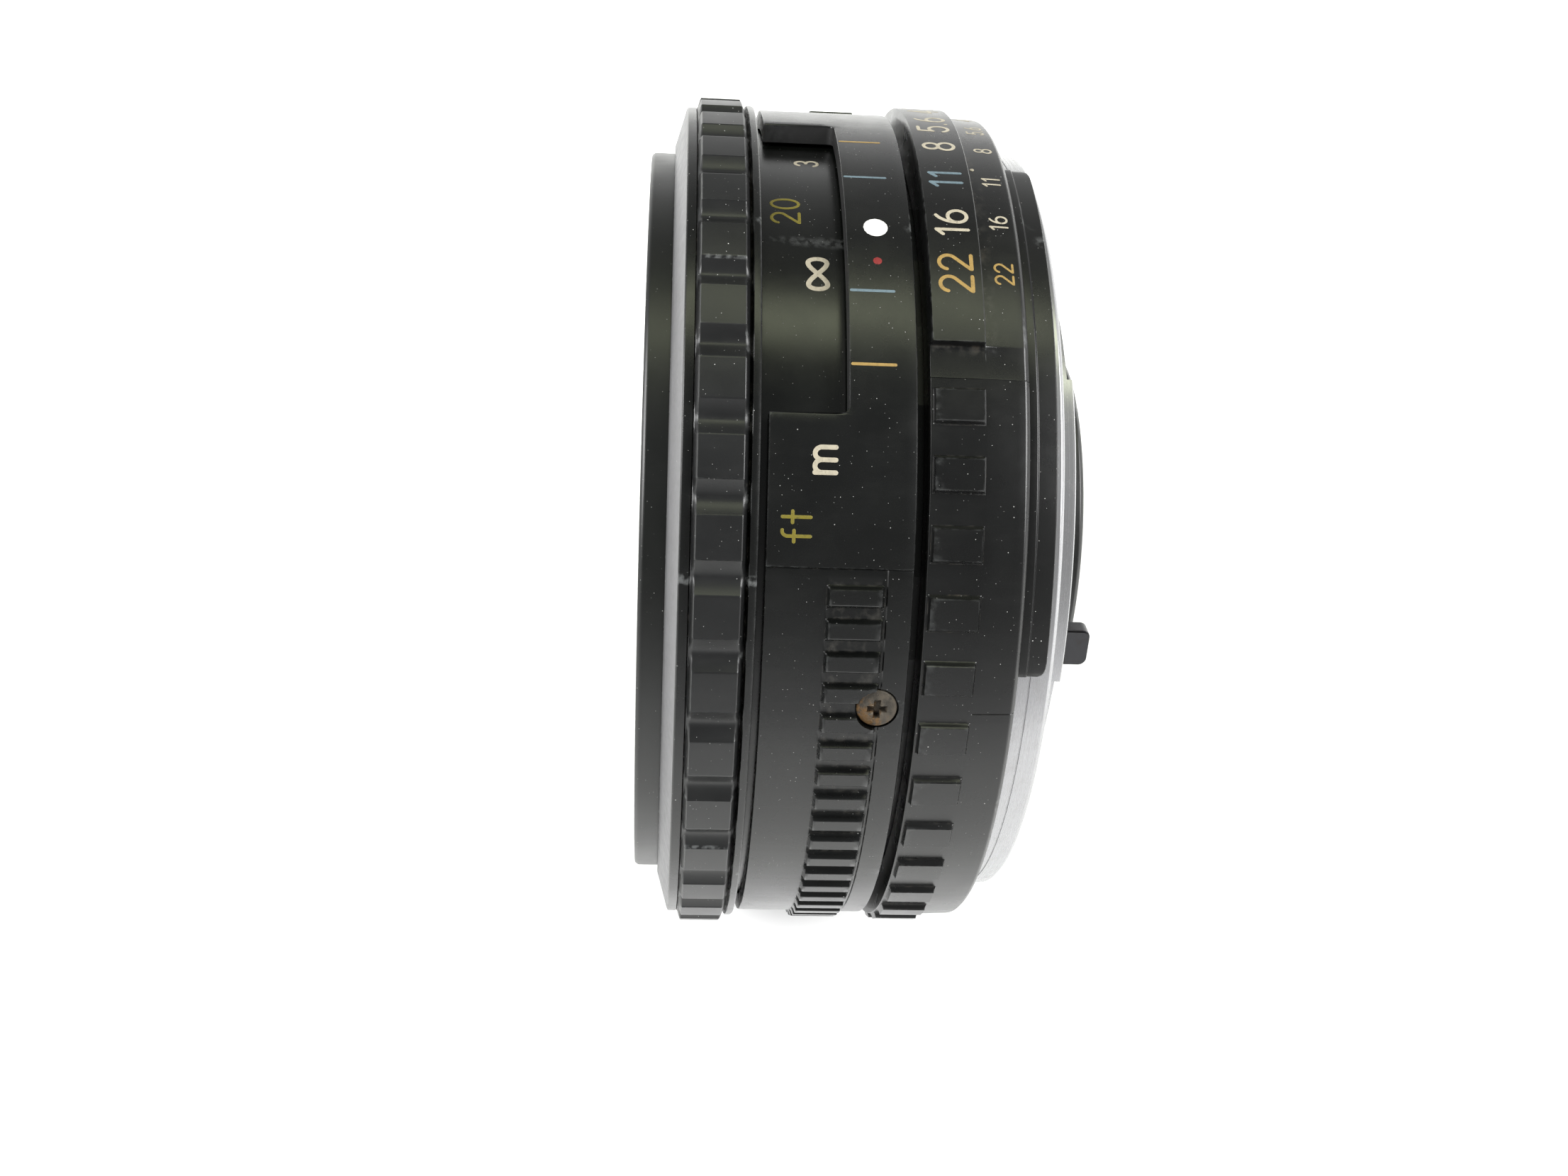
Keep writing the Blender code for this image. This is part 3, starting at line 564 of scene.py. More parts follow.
def make_name_ring():
    points = [(25.3, -23.2, 0.05), (25.3, -22.9, 0.02), (20.9, -22.8), (16.2, -21.6),
              (15.5, -21.6, 0.03), (15.5, -21.9, 0.08)]
    steps = 12
    for k in range(steps):
        t, t2 = k / steps, (k + 0.72) / steps
        points.append((15.75 + 4.6 * t, -21.95 - 1.17 * t - 0.07))
        points.append((15.75 + 4.6 * t2, -21.95 - 1.17 * t2 + 0.03))
    points += [(20.5, -23.2, 0.08), (24.3, -23.2), (24.36, -23.13), (24.55, -23.13),
               (24.61, -23.2)]
    obj = turned("name_ring_stepped", points, 192, 2, 22.0)
    fit_out(obj, INNER_BLACK, "lens_unit", "black_metal", "name_ring")


def make_front_retaining_ring():
    front, rear = span("front_retaining_ring")
    points = [(15.2, front, 0.06), (15.2, rear, 0.04), (14.4, rear, 0.04), (14.5, rear - 0.25, 0.05),
              (14.82, front + 0.25, 0.08), (14.9, front, 0.06)]
    obj = turned("front_retaining_ring_smooth", points, 192, 3, 25.0)
    fit_out(obj, INNER_BLACK, "lens_unit", "black_metal", "front_retaining_ring")


# ---------------- focus ring


def make_focus_ring():
    front, rear = span("focus_ring")
    pitch = 360 / FOCUS_PADS
    half, top = pitch / 2, 2.52
    high = 0.70
    edge = (0.0, 0.04, 0.10, 0.18, 0.30, 0.50, 0.75, 1.05, 1.35, 1.65)
    offsets = [top - 0.9, top - 0.28, top - 0.14] + [top + e for e in edge]
    offsets = [-o for o in offsets] + offsets + [0.0, half]
    centres = FOCUS_PAD_PHASE + pitch * np.arange(FOCUS_PADS)
    angles = stations(*[centres + o for o in offsets], fill=2.0)

    band = [-23.76, -23.71, -23.65, -23.58, -23.53, -23.48, -23.43, -22.8, -22.1, -21.3, -20.72,
            -20.66, -20.60, -20.52, -20.44, -20.36, -20.30]
    points = [(28.1, front, 0.06), (31.0, -24.47, 0.15), (31.0, -23.90), (30.99, -23.84),
              (30.90, -23.80)]
    points += [(30.95, y) for y in band]
    points += [(30.90, -20.26), (31.0, -20.21), (31.27, -20.14, 0.06), (31.27, rear, 0.24),
               (29.7, rear, 0.05), (29.7, -22.3), (28.8, -22.3), (28.8, -24.9),
               (27.9, -24.9), (27.9, front, 0.04)]

    def pads(angle, radius, y):
        away = np.abs((angle - FOCUS_PAD_PHASE + half) % pitch - half)
        scoop = np.clip((half - away) / (half - top), 0, 1)
        lift = np.where(away <= top, 1.0, 0.20 + 0.77 * scoop ** 1.55)
        front_wall = np.clip((y + 23.72) / 0.22, 0, 1)
        rear_wall = np.clip((-20.34 - y) / 0.28, 0, 1)
        along = np.minimum(front_wall, rear_wall) ** 0.8
        here = (radius > 30.93) & (radius < 30.96) & (y > -23.78) & (y < -20.28)
        return angle, np.where(here, 30.97 + (high + 0.03) * lift * along, radius), y

    obj = ring("focus_ring_grip", angles, rounded(points), pads, 26.0)
    fit_out(obj, PLASTIC, "focus_assembly", "black_plastic", "focus_ring")
    # the front bevel gets the painted reflection and painted shade
    add_look(obj, TRIM_PAINTED_REFLECTION, lambda out, y, at: -25.27 < y < -24.52 and 27.9 < out < 30.95)
    add_look(obj, GRIP, lambda out, y, at: -23.80 < y < -20.27 and out > 30.8)


def make_distance_sleeve():
    front, rear = span("distance_scale")
    obj = turned("distance_scale_sleeve",
                 [(29.4, front, 0.05), (29.4, rear, 0.05), (28.8, rear), (28.8, front)], 256)
    fit_out(obj, SLEEVE, "focus_assembly", "black_metal", "distance_scale")


# ---------------- fixed cover


def make_cover():
    front, rear = span("fixed_cover")
    front += 0.07
    rib_front, rib_rear = -15.25, -11.65
    corner = 0.5
    corner_deg = math.degrees(corner / 31.0)
    ribs = int(round((360 - 2 * RIB_FIRST) / RIB_PITCH)) + 1
    centres = RIB_FIRST + 0.65 + RIB_PITCH * np.arange(ribs) * (360 - 2 * RIB_FIRST - 1.3) / (
        RIB_PITCH * (ribs - 1))
    step = centres[1] - centres[0]
    offsets = (-1.38, -1.28, -1.16, -1.04, -0.93, -0.84, 0.84, 0.93, 1.04, 1.16, 1.28, 1.38)
    window = [WINDOW_HALF - part * corner_deg for part in (1.0, 0.7, 0.4, 0.15)]
    window += [WINDOW_HALF + d for d in (0.0, 0.04, 0.12, 0.24)]
    seam = [SEAM + d for d in (-0.30, -0.06, 0.0, 0.07, 0.30)]
    angles = stations(*[centres + o for o in offsets], window, [-w for w in window], seam,
                      [-s for s in seam], fill=1.4)

    lines = [-17.5] + [rib_front + d for d in (-0.5, -0.12, -0.02, 0.06, 0.16, 0.24)]
    lines += [-14.9, -14.3, -13.6, -12.9, -12.2] + [rib_rear + d for d in (-0.24, -0.16, -0.06, 0.02)]
    lines += [-11.52, -11.44, -10.6]
    points = [(31.0, front, 0.12)] + [(31.0, y) for y in lines]
    points += [(31.0, rear, 0.14), (29.7, rear, 0.04), (29.7, front, 0.06)]
    rows = rounded(points, 3)
    at_front = rows[:, 1] < front + 0.11

    def shape(angle, radius, y):
        at = signed(angle)
        away = np.abs(at)
        outer = radius > 30.85
        # the cover is a little thinner past the seams, most of all on the grip band
        past = smoothstep((away - (SEAM - 0.03)) / 0.10)
        band = smoothstep((-11.44 - y) / 0.08)
        radius = radius - outer * past * (0.07 + 0.07 * band)
        groove = np.exp(-(((away - SEAM - 0.05) / 0.05) ** 2))
        radius = radius - outer * 0.05 * groove
        # ribs
        s = np.abs((angle - centres[0] + step / 2) % step - step / 2)
        inside = (away >= centres[0] - step / 2) * 1.0
        across = np.clip((1.38 - s) / 0.52, 0, 1)
        along = np.clip(np.minimum(y - rib_front, rib_rear - y) / 0.18, 0, 1)
        rise = smoothstep(np.minimum(across, along))
        radius = radius + outer * inside * (0.46 * rise - 0.05 * (1 - across) * along)
        # the window, open at the front, with round corners and a rolled edge
        start = WINDOW_HALF - corner_deg
        run = np.clip((away - start) / corner_deg, 0, 1) * corner
        bite = corner - np.sqrt(np.maximum(corner ** 2 - run ** 2, 0))
        edge = np.where(away <= WINDOW_HALF + 0.02, window_rear - bite, front)
        is_front = np.broadcast_to(at_front, y.shape)
        y = np.where(is_front, edge + (y - front), np.maximum(y, edge + 0.10))
        roll = np.clip((WINDOW_HALF + 0.24 - away) / 0.2, 0, 1) ** 2 * (away > WINDOW_HALF)
        radius = radius - outer * roll * 0.07 * (y < window_rear - corner)
        return angle, radius, y

    window_rear = -14.16
    obj = ring("fixed_cover_shell", angles, rows, shape, 28.0)
    tools = []
    for k, angle in enumerate(COVER_SCREW_ANGLES):
        out = spot(1, angle, 0)
        tools.append(pin(f"tool_a{k}", spot(31.0, angle, COVER_SCREW_Y), out, 1.40, 1.5, 64))
        tools.append(pin(f"tool_b{k}", spot(31.0, angle, COVER_SCREW_Y), out, 0.95, 6.0, 32))
    combine(obj, tools, sharp=28.0)
    fit_out(obj, PLASTIC, "barrel", "black_plastic", "fixed_cover")
    add_look(obj, INNER_BLACK, lambda out, y, at: out < 30.8 and abs(at) < WINDOW_HALF + 0.4)


def screw(name, place, outward, head_r, shank_r, top, under, dome, cross, countersunk=False):
    """A cross-head screw along outward from place; heights are measured along outward."""
    bm = bmesh.new()
    if countersunk:
        profile = [(0, under), (shank_r, under), (shank_r, top - 1.05), (head_r - 0.08, top - 0.12),
                   (head_r, top - 0.06), (head_r - 0.03, top), (head_r * 0.6, top), (0, top)]
    else:
        profile = [(0, under), (shank_r, under), (shank_r, top - 0.62), (head_r - 0.05, top - 0.62),
                   (head_r, top - 0.56), (head_r, top - dome - 0.06), (head_r - 0.04, top - dome)]
        profile += [(head_r * math.cos(t), top - dome + dome * math.sin(t))
                    for t in np.linspace(0.35, math.pi / 2, 7)]
        profile[-1] = (0, top)
    verts = [bm.verts.new((r, 0, h)) for r, h in profile]
    edges = [bm.edges.new(pair) for pair in zip(verts, verts[1:])]
    bmesh.ops.spin(bm, geom=verts + edges, cent=(0, 0, 0), axis=(0, 0, 1), angle=math.tau, steps=48)
    bmesh.ops.remove_doubles(bm, verts=bm.verts, dist=1e-4)
    obj = solid_from(bm, name)
    wide, long, deep = cross
    tools = []
    for turn in (0.0, math.pi / 2):
        cb = bmesh.new()
        bmesh.ops.create_cone(cb, cap_ends=True, segments=4, radius1=0.45, radius2=math.sqrt(0.5), depth=1)
        bmesh.ops.rotate(cb, cent=(0, 0, 0), matrix=Matrix.Rotation(math.pi / 4, 3, "Z"), verts=cb.verts)
        bmesh.ops.scale(cb, vec=(long, wide, deep * 2), verts=cb.verts)
        bmesh.ops.translate(cb, vec=(0, 0, top), verts=cb.verts)
        bmesh.ops.rotate(cb, cent=(0, 0, 0), matrix=Matrix.Rotation(turn, 3, "Z"), verts=cb.verts)
        tools.append(solid_from(cb, f"{name}_tool"))
    combine(obj, tools, sharp=30.0)
    obj.data.transform(Matrix.Translation(place * MM) @ aimed(outward))
    obj.data.update()
    smooth(obj.data, 30.0)
    return obj


def make_screws():
    for k, angle in enumerate(COVER_SCREW_ANGLES):
        obj = screw(f"cover_screw_head_{k + 1}", Vector((0, COVER_SCREW_Y, 0)), spot(1, angle, 0),
                    1.30, 0.6, 31.02, 27.6, 0.14, (0.56, 1.62, 0.45))
        centre = spot(31.0, angle, COVER_SCREW_Y)
        toward = spot(0.6, angle + 90, -0.7).normalized()
        look = rust_look(f"rusty_steel_{k + 1}", centre, toward)
        fit_out(obj, look, "barrel", "rusty_steel", f"cover_screw_{k + 1}")
    for k, angle in enumerate(MOUNT_SCREW_ANGLES):
        obj = screw(f"mount_screw_head_{k + 1}", spot(MOUNT_SCREW_R, angle, 0), REARWARD,
                    1.75, 0.7, -0.1, -5.0, 0.0, (0.42, 2.1, 0.6), True)
        fit_out(obj, STEEL, "barrel", "steel", f"mount_screw_{k + 1}")


# ---------------- aperture ring


def skirt_radius(y):
    """Radius of the aperture ring's skirt, which tapers very little."""
    return SKIRT_R - (y + 5.5) / 2.5 * 0.1


def make_aperture_ring():
    front = span("aperture_ring")[0]
    pitch, top, foot = APERTURE_PAD_PITCH, 1.78, 2.22
    centres = APERTURE_PAD_FIRST + pitch * np.arange(APERTURE_PADS)
    last = centres[-1] + foot
    rise = (-0.14, 0.0, 0.11, 0.22, 0.33, 0.44, 0.58)
    offsets = [r - foot for r in rise] + [foot - r for r in rise]
    ends = [PANEL_FROM - 0.12, PANEL_FROM, PANEL_FROM + 0.10, PANEL_FROM + 0.3, PANEL_TO - 0.3,
            PANEL_TO - 0.10, PANEL_TO, PANEL_TO + 0.12, PANEL_TO + 3.9, PANEL_TO + 4.0, PANEL_TO + 4.15]
    mould = [60.85, 60.93, 61.0]
    angles = stations(*[centres + o for o in offsets], ends, mould, fill=1.5)
    lines = [front + 0.02, -8.95, -8.88, -8.80, -8.2, -7.2, -6.4, -5.84, -5.76, -5.66, -5.60, -5.54]
    points = [(31.05, front, 0.05)] + [(31.05, y) for y in lines[1:]]
    points += [(31.05, -5.5), (skirt_radius(-4.4), -4.4, 0.0), (skirt_radius(-3.6), -3.6, 0.0),
               (30.95, -3.02, 0.10), (30.66, -2.74, 0.10), (28.95, -2.74, 0.02), (28.95, -3.0),
               (28.5, -3.0), (28.5, front, 0.04)]

    def shape(angle, radius, y):
        outer = radius > 30.95
        skirt = (radius > 29.5) & (y > -5.6)
        at = signed(angle)
        # raised number panel, with a step where the plain valley band starts
        across = np.clip(np.minimum(at - PANEL_FROM, PANEL_TO - at) / 0.12 + 0.5, 0, 1)
        panel_along = np.clip(np.minimum(y - front, -5.52 - y) / 0.10, 0, 1)
        radius = radius + outer * 0.53 * smoothstep(across) * smoothstep(panel_along)
        step_down = smoothstep((at - PANEL_TO - 0.1) / 0.1) * smoothstep((PANEL_TO + 4.1 - at) / 0.12)
        radius = radius - (outer | skirt) * 0.07 * step_down
        # grip pads
        in_pads = ((angle % 360) > centres[0] - foot - 0.3) & ((angle % 360) < last + 0.3)
        away = np.abs((angle - centres[0] + pitch / 2) % pitch - pitch / 2)
        across = smoothstep((foot - away) / (foot - top))
        along = smoothstep(np.clip(np.minimum(y + 8.93, -5.62 - y) / 0.14, 0, 1))
        radius = radius + outer * in_pads * 0.42 * np.minimum(across, along)
        line = np.exp(-(((at - 60.93) / 0.05) ** 2))
        radius = radius - skirt * 0.05 * line
        return angle, radius, y

    obj = ring("aperture_ring_grip", angles, rounded(points), shape, 28.0)
    obj = join("aperture_ring_moulding", [obj, make_ridge()])
    smooth(obj.data, 28.0)
    fit_out(obj, GRIMY, "aperture_assembly", "black_plastic", "aperture_ring")


def make_ridge():
    """The rear coupling ridge: a closed bar bent round the skirt's edge, with round ends."""
    rear = span("aperture_ring")[1]
    half, middle = (RIDGE_TO - RIDGE_FROM) / 2, (RIDGE_TO + RIDGE_FROM) / 2
    section = rounded([(30.0, -3.12, 0.08), (30.25, -2.95, 0.06), (30.25, -2.16, 0.05), (30.10, -2.06, 0.03),
                       (30.10, rear, 0.14), (28.95, rear, 0.10), (28.95, -2.9), (29.6, -3.2)], 3)
    centre = section.mean(0)
    soft = np.array([0.0, 0.10, 0.28, 0.55, 0.95])
    ends = np.degrees(soft / 29.6)
    along = np.concatenate([-half + ends, np.linspace(-half + 2.4, half - 2.4, 46), (half - ends)[::-1]])
    squeeze = np.ones(len(along))
    curve = np.array([0.62, 0.80, 0.91, 0.97, 1.0])
    squeeze[:5], squeeze[-5:] = curve, curve[::-1]
    co = []
    for angle, amount in zip(along, squeeze):
        for r, y in section:
            pulled = centre + (np.array([r, y]) - centre) * np.array([0.5 + 0.5 * amount, amount])
            co.append(tuple(spot(pulled[0], middle + angle, pulled[1])))
    return mesh_object("ridge", co, strip_faces(len(along), len(section)), 30.0)


# ---------------- mount and rear


def make_bayonet():
    ramp = 0.7
    tabs = []
    for start in TAB_ANGLES:
        tabs += [start - 0.05, start + 0.05, start + ramp, start + TAB_WIDE - ramp,
                 start + TAB_WIDE - 0.05, start + TAB_WIDE + 0.05]
    angles = stations(tabs, fill=1.5)
    points = [
        (27.9, -3.1, 0.05), (28.6, -2.7, 0.08), (28.6, -1.56), (28.55, -1.53),
        (28.55, -1.47), (28.6, -1.44), (28.6, -0.25, 0.06), (28.35, 0, 0.06),
        (21.9, 0), (21.9, 0.86), (21.9, 0.9), (21.91, 0.95),
        (21.91, 1.85), (21.9, 1.95), (21.6, 1.95), (20.2, 1.95, 0.12),
        (20.2, -1.6), (23.1, -1.6), (23.1, -3.1, 0.05),
    ]
    rows = rounded(points)

    def shape(angle, radius, y):
        on = np.zeros_like(angle)
        for start in TAB_ANGLES:
            into = (angle - start) % 360
            on = np.maximum(on, np.where(into <= TAB_WIDE, 1.0, 0.0))
        reach = np.interp(y, [0.86, 0.9, 0.95, 1.85, 1.95], [0.0, 1.52, 1.6, 1.6, 1.45])
        is_tab = (radius > 21.85) & (radius < 21.95) & (y > 0.88)
        return angle, radius + np.where(is_tab, reach * on, 0), y

    obj = ring("bayonet_flange", angles, rows, shape, 28.0)
    tools = []
    for k, angle in enumerate(MOUNT_SCREW_ANGLES):
        tools.append(pin(f"tool_c{k}", spot(MOUNT_SCREW_R, angle, -1.5), REARWARD, 1.05, 4.0, 40))
        tools.append(pin(f"tool_d{k}", spot(MOUNT_SCREW_R, angle, -0.5), REARWARD, 2.05, 2.0, 56))
    notch = Matrix.Rotation(math.radians(LOCK_NOTCH_ANGLE), 4, "Y") @ Matrix.Translation((0, 0, 26.6))
    tools.append(brick("tool_e", (2.2, 2.4, 3.6), notch))
    combine(obj, tools, sharp=28.0)
    fit_out(obj, CHROME, "barrel", "chrome", "bayonet_mount")


def make_rear_cell():
    front, rear = span("rear_cell")
    points = [(14.0, -5.0), (14.0, 2.9), (13.92, 2.94), (13.92, 3.1), (14.0, 3.14),
              (14.0, rear - 0.3, 0.06), (13.7, rear, 0.06), (12.3, rear, 0.05)]
    for k in range(4):
        points += [(r - 0.16 * k, rear - 0.05 - 0.11 * k) for r in (12.3, 12.22)]
    points += [(11.5, 4.4), (11.5, 0.3), (9.7, 0.3), (9.7, front), (20.3, front),
               (20.3, -5.0)]
    obj = turned("rear_cell_barrel", points, 160, 2, 24.0)
    combine(obj, [sector_tool("tool_f", 16.8, 19.4, -6.5, -4.5, 224.0, 256.0)], sharp=24.0)
    fit_out(obj, ANODISED, "lens_unit", "black_metal", "rear_cell")


def sector_tool(name, inner, outer, front, rear, start, end):
    """A closed part of a ring, as a cutting tool."""
    steps = 24
    corners = ((inner, front), (outer, front), (outer, rear), (inner, rear))
    co = [tuple(spot(r, angle, y)) for angle in np.linspace(start, end, steps) for r, y in corners]
    return mesh_object(name, co, strip_faces(steps, 4))


def make_rear_baffle():
    front, rear = span("rear_baffle")
    points = [(19.9, front, 0.05), (19.9, rear, 0.08)]
    for k in range(9):
        points += [(19.0 - 0.45 * k, rear), (18.9 - 0.45 * k, rear - 0.10),
                   (18.7 - 0.45 * k, rear - 0.10), (18.6 - 0.45 * k, rear)]
    points += [(14.5, rear, 0.06), (14.5, front, 0.05)]
    obj = turned("rear_baffle_ribbed", points, 160, 2, 24.0)
    slot = sector_tool("tool_g", 17.6, 21.0, 0.0, 2.0, LEVER_ANGLE - 13, LEVER_ANGLE + 13)
    combine(obj, [slot], sharp=24.0)
    fit_out(obj, INNER_BLACK, "barrel", "black_metal", "rear_baffle")


def make_iris_housing():
    """The plate in front of the iris blades, with their pivot holes and a close stop in its bore."""
    front, rear = span("iris_housing")
    points = [(7.4, front + 0.15, 0.03), (7.8, front, 0.04), (23.7, front, 0.05), (23.7, front + 0.6, 0.03),
              (21.5, front + 0.6, 0.05), (21.5, rear, 0.05), (20.6, rear, 0.05), (20.6, front + 0.6, 0.05),
              (7.8, front + 0.6, 0.04), (7.4, front + 0.35, 0.03)]
    obj = turned("iris_housing_plate", points, 160, 2, 24.0)
    tools = [pin(f"tool_h{k}", spot(PIVOT_R, 360 / BLADES * k + BLADE_PHASE, front + 0.3),
                 REARWARD, 0.66, 2.0, 32) for k in range(BLADES)]
    combine(obj, tools, sharp=24.0)
    fit_out(obj, INNER_BLACK, "lens_unit", "black_metal", "iris_housing")


def make_stop_down():
    """The stop-down ring, its fork, and the lever that stands out of the mount."""
    ring_part = turned("stop_part", [(22.8, -3.1, 0.05), (22.8, -1.9, 0.05), (20.7, -1.9, 0.05),
                                     (20.7, -3.1, 0.05)], 160)
    rear = span("stop_down_ring")[1]
    turn = Matrix.Rotation(math.radians(LEVER_ANGLE), 4, "Y")
    half, radius, front = 1.4, 0.55, -3.05
    outline = [(-half, front), (half, front), (half, rear - radius)]
    outline += [(half - radius + radius * math.cos(t), rear - radius + radius * math.sin(t))
                for t in np.linspace(0.2, math.pi / 2, 6)]
    outline += [(-half + radius - radius * math.sin(t), rear - radius + radius * math.cos(t))
                for t in np.linspace(0, math.pi / 2 - 0.2, 6)]
    outline += [(-half, rear - radius)]
    bm = bmesh.new()
    low = [bm.verts.new((x, y, 18.25)) for x, y in outline]
    face = bm.faces.new(low)
    top = bmesh.ops.extrude_face_region(bm, geom=[face])
    moved = [v for v in top["geom"] if isinstance(v, bmesh.types.BMVert)]
    bmesh.ops.translate(bm, vec=(0, 0, 1.4), verts=moved)
    rim = [e for e in bm.edges if abs(e.verts[0].co.z - e.verts[1].co.z) < 1e-6]
    bmesh.ops.bevel(bm, geom=rim, offset=0.12, segments=2, affect="EDGES")
    bm.transform(turn)
    lever = solid_from(bm, "stop_lever")
    bridge = brick("stop_bridge", (2.8, 1.2, 3.2), turn @ Matrix.Translation((0, -2.5, 20.2)))
    tools = [lever, bridge]
    wide = 1.6 / 2 + 0.3 + 0.6
    for number, side in enumerate((-1, 1)):
        angle = math.radians(FORK_ANGLE + side * math.degrees(wide / 18.1))
        at = Matrix.Rotation(angle, 4, "Y")
        tools.append(brick(f"prong_{number}", (1.2, 3.7, 1.3), at @ Matrix.Translation((0, -3.75, 18.1))))
        tools.append(brick(f"arm_{number}", (1.2, 1.2, 4.0), at @ Matrix.Translation((0, -2.5, 19.45))))
    combine(ring_part, tools, "UNION", 30.0)
    ring_part.name = "stop_down_lever_ring"
    fit_out(ring_part, BLACK_STEEL, "stop_down", "black_steel", "stop_down_ring")


# ---------------- glass

ELEMENTS = (
    ("first_element", 38.0, -22.3, 190.0, -18.9, 15.2, 15.2, 15.2),
    ("second_element", 21.5, -18.7, 52.0, -15.0, 13.0, 13.0, 13.0),
    ("third_element", 75.0, -14.3, 14.6, -13.1, 11.6, 9.2, 11.6),
    ("fourth_element", -17.0, -3.2, 48.0, -2.2, 8.6, 9.4, 9.4),
    ("fifth_element", 48.0, -2.15, -22.0, 1.7, 9.4, 9.4, 9.4),
    ("sixth_element", 120.0, 2.0, -38.0, 4.7, 11.2, 11.2, 11.2),
)
FILMS = ((0.34, 0.22, 0.46), (0.46, 0.34, 0.18), (0.24, 0.30, 0.46))


def surface(bend, vertex, edge):
    """Points from the axis to the edge of a spherical face."""
    out = []
    for r in np.linspace(0, edge, 14):
        sag = bend - math.copysign(math.sqrt(bend ** 2 - r ** 2), bend)
        out.append((r, vertex + sag))
    return out


def make_glass():
    for k, (node, bend1, vertex1, bend2, vertex2, edge1, edge2, rim) in enumerate(ELEMENTS):
        first, second = surface(bend1, vertex1, edge1), surface(bend2, vertex2, edge2)
        outline = first[1:]
        if rim > edge1:
            outline.append((rim, first[-1][1]))
        if rim > edge2:
            outline.append((rim, second[-1][1]))
        outline += second[:0:-1]
        n, m = 128, len(outline)
        co = [(0, vertex1, 0)]
        for i in range(n):
            co += [tuple(spot(r, 360 * i / n, y)) for r, y in outline]
        co.append((0, vertex2, 0))
        faces = []
        for i in range(n):
            here, after = 1 + i * m, 1 + ((i + 1) % n) * m
            faces += [(here + j, after + j, after + j + 1, here + j + 1) for j in range(m - 1)]
            faces += [(0, after, here), (len(co) - 1, here + m - 1, after + m - 1)]
        obj = mesh_object(f"{node}_polished", np.array(co, float), faces, 25.0)
        body = frame["nodes"][node]["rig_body"]
        fit_out(obj, glass_look(f"glass_{k + 1}", FILMS[k % 3]), body, "glass", node)


# ---------------- engraved marks


def arc(x, y, rx, ry, start, end, count=12):
    t = np.radians(np.linspace(start, end, count))
    return [(x + rx * math.cos(a), y + ry * math.sin(a)) for a in t]


# Strokes in a cell one unit high: width, then each stroke's points
GLYPHS = {
    "0": (0.58, [arc(0.29, 0.5, 0.28, 0.5, 90, 450, 32)]),
    "1": (0.28, [[(0.02, 0.80), (0.22, 1.0)], [(0.22, 1.0), (0.22, 0.0)]]),
    "2": (0.56, [arc(0.28, 0.72, 0.27, 0.28, 170, -38, 16) + [(0.03, 0.03)], [(0.02, 0.0), (0.56, 0.0)]]),
    "3": (0.56, [arc(0.27, 0.76, 0.23, 0.24, 160, -90, 14), arc(0.27, 0.26, 0.27, 0.26, 90, -160, 16)]),
    "4": (0.62, [[(0.44, 0.0), (0.44, 1.0)], [(0.44, 1.0), (0.0, 0.28)], [(0.0, 0.28), (0.62, 0.28)]]),
    "5": (0.56, [[(0.50, 1.0), (0.10, 1.0)], [(0.10, 1.0), (0.06, 0.54)],
                 arc(0.27, 0.32, 0.28, 0.32, 140, -155, 18)]),
    "6": (0.56, [arc(0.28, 0.30, 0.27, 0.30, 90, 450, 26), arc(0.50, 0.30, 0.49, 0.72, 180, 112, 10)]),
    "7": (0.54, [[(0.0, 1.0), (0.54, 1.0)], [(0.54, 1.0), (0.18, 0.0)]]),
    "8": (0.56, [arc(0.28, 0.76, 0.22, 0.24, 90, 450, 24), arc(0.28, 0.26, 0.27, 0.26, 90, 450, 26)]),
    ".": (0.10, [[(0.05, 0.0), (0.05, 0.004)]]),
    "m": (1.22, [[(0.0, 0.0), (0.0, 1.0)],
                 arc(0.305, 0.66, 0.305, 0.34, 180, 0, 12) + [(0.61, 0.0)],
                 arc(0.915, 0.66, 0.305, 0.34, 180, 0, 12) + [(1.22, 0.0)]]),
    "f": (0.44, [arc(0.40, 0.80, 0.18, 0.20, 80, 180, 8) + [(0.22, 0.0)], [(0.02, 0.58), (0.42, 0.58)]]),
    "t": (0.44, [[(0.22, 1.0), (0.22, 0.0)], [(0.02, 0.64), (0.42, 0.64)]]),
}


# Section of a painted stroke: part of its half width, and height over the face
BEAD = ((-1, -0.03), (-1, 0.006), (-0.72, 0.014), (0.72, 0.014), (1, 0.006), (1, -0.03))


def stroke_mesh(points, wide, radius_at, angle, y):
    """A closed bead along a stroke, wrapped on the ring. Points are (along, up) from the centre."""
    path = np.array(points, float)
    long = np.linalg.norm(np.diff(path, axis=0), axis=1)
    path = path[np.append(True, long > 1e-6)]
    if len(path) == 2:
        path = np.linspace(path[0], path[1], 6)
    ahead = np.gradient(path, axis=0)
    ahead /= np.linalg.norm(ahead, axis=1)[:, None]
    cap = np.linspace(0, math.pi / 2, 5)[1:]
    start = [path[0] - ahead[0] * wide * math.sin(t) for t in cap[::-1]]
    end = [path[-1] + ahead[-1] * wide * math.sin(t) for t in cap]
    taper = [wide * math.cos(t) for t in cap]
    halves = np.array(taper[::-1] + [wide] * len(path) + taper)
    halves = np.maximum(halves, wide * 0.06)
    path = np.array(start + list(path) + end)
    ahead = np.vstack([[ahead[0]] * 4, ahead, [ahead[-1]] * 4])
    side = np.stack([-ahead[:, 1], ahead[:, 0]], -1)
    co = []
    for p, s, h in zip(path, side, halves):
        for across, lift in BEAD:
            u, v = p + s * h * across
            at_y = y - v
            r = radius_at(at_y) + lift
            co.append(tuple(spot(r, angle - math.degrees(u / r), at_y)))
    return co, strip_faces(len(path), len(BEAD))


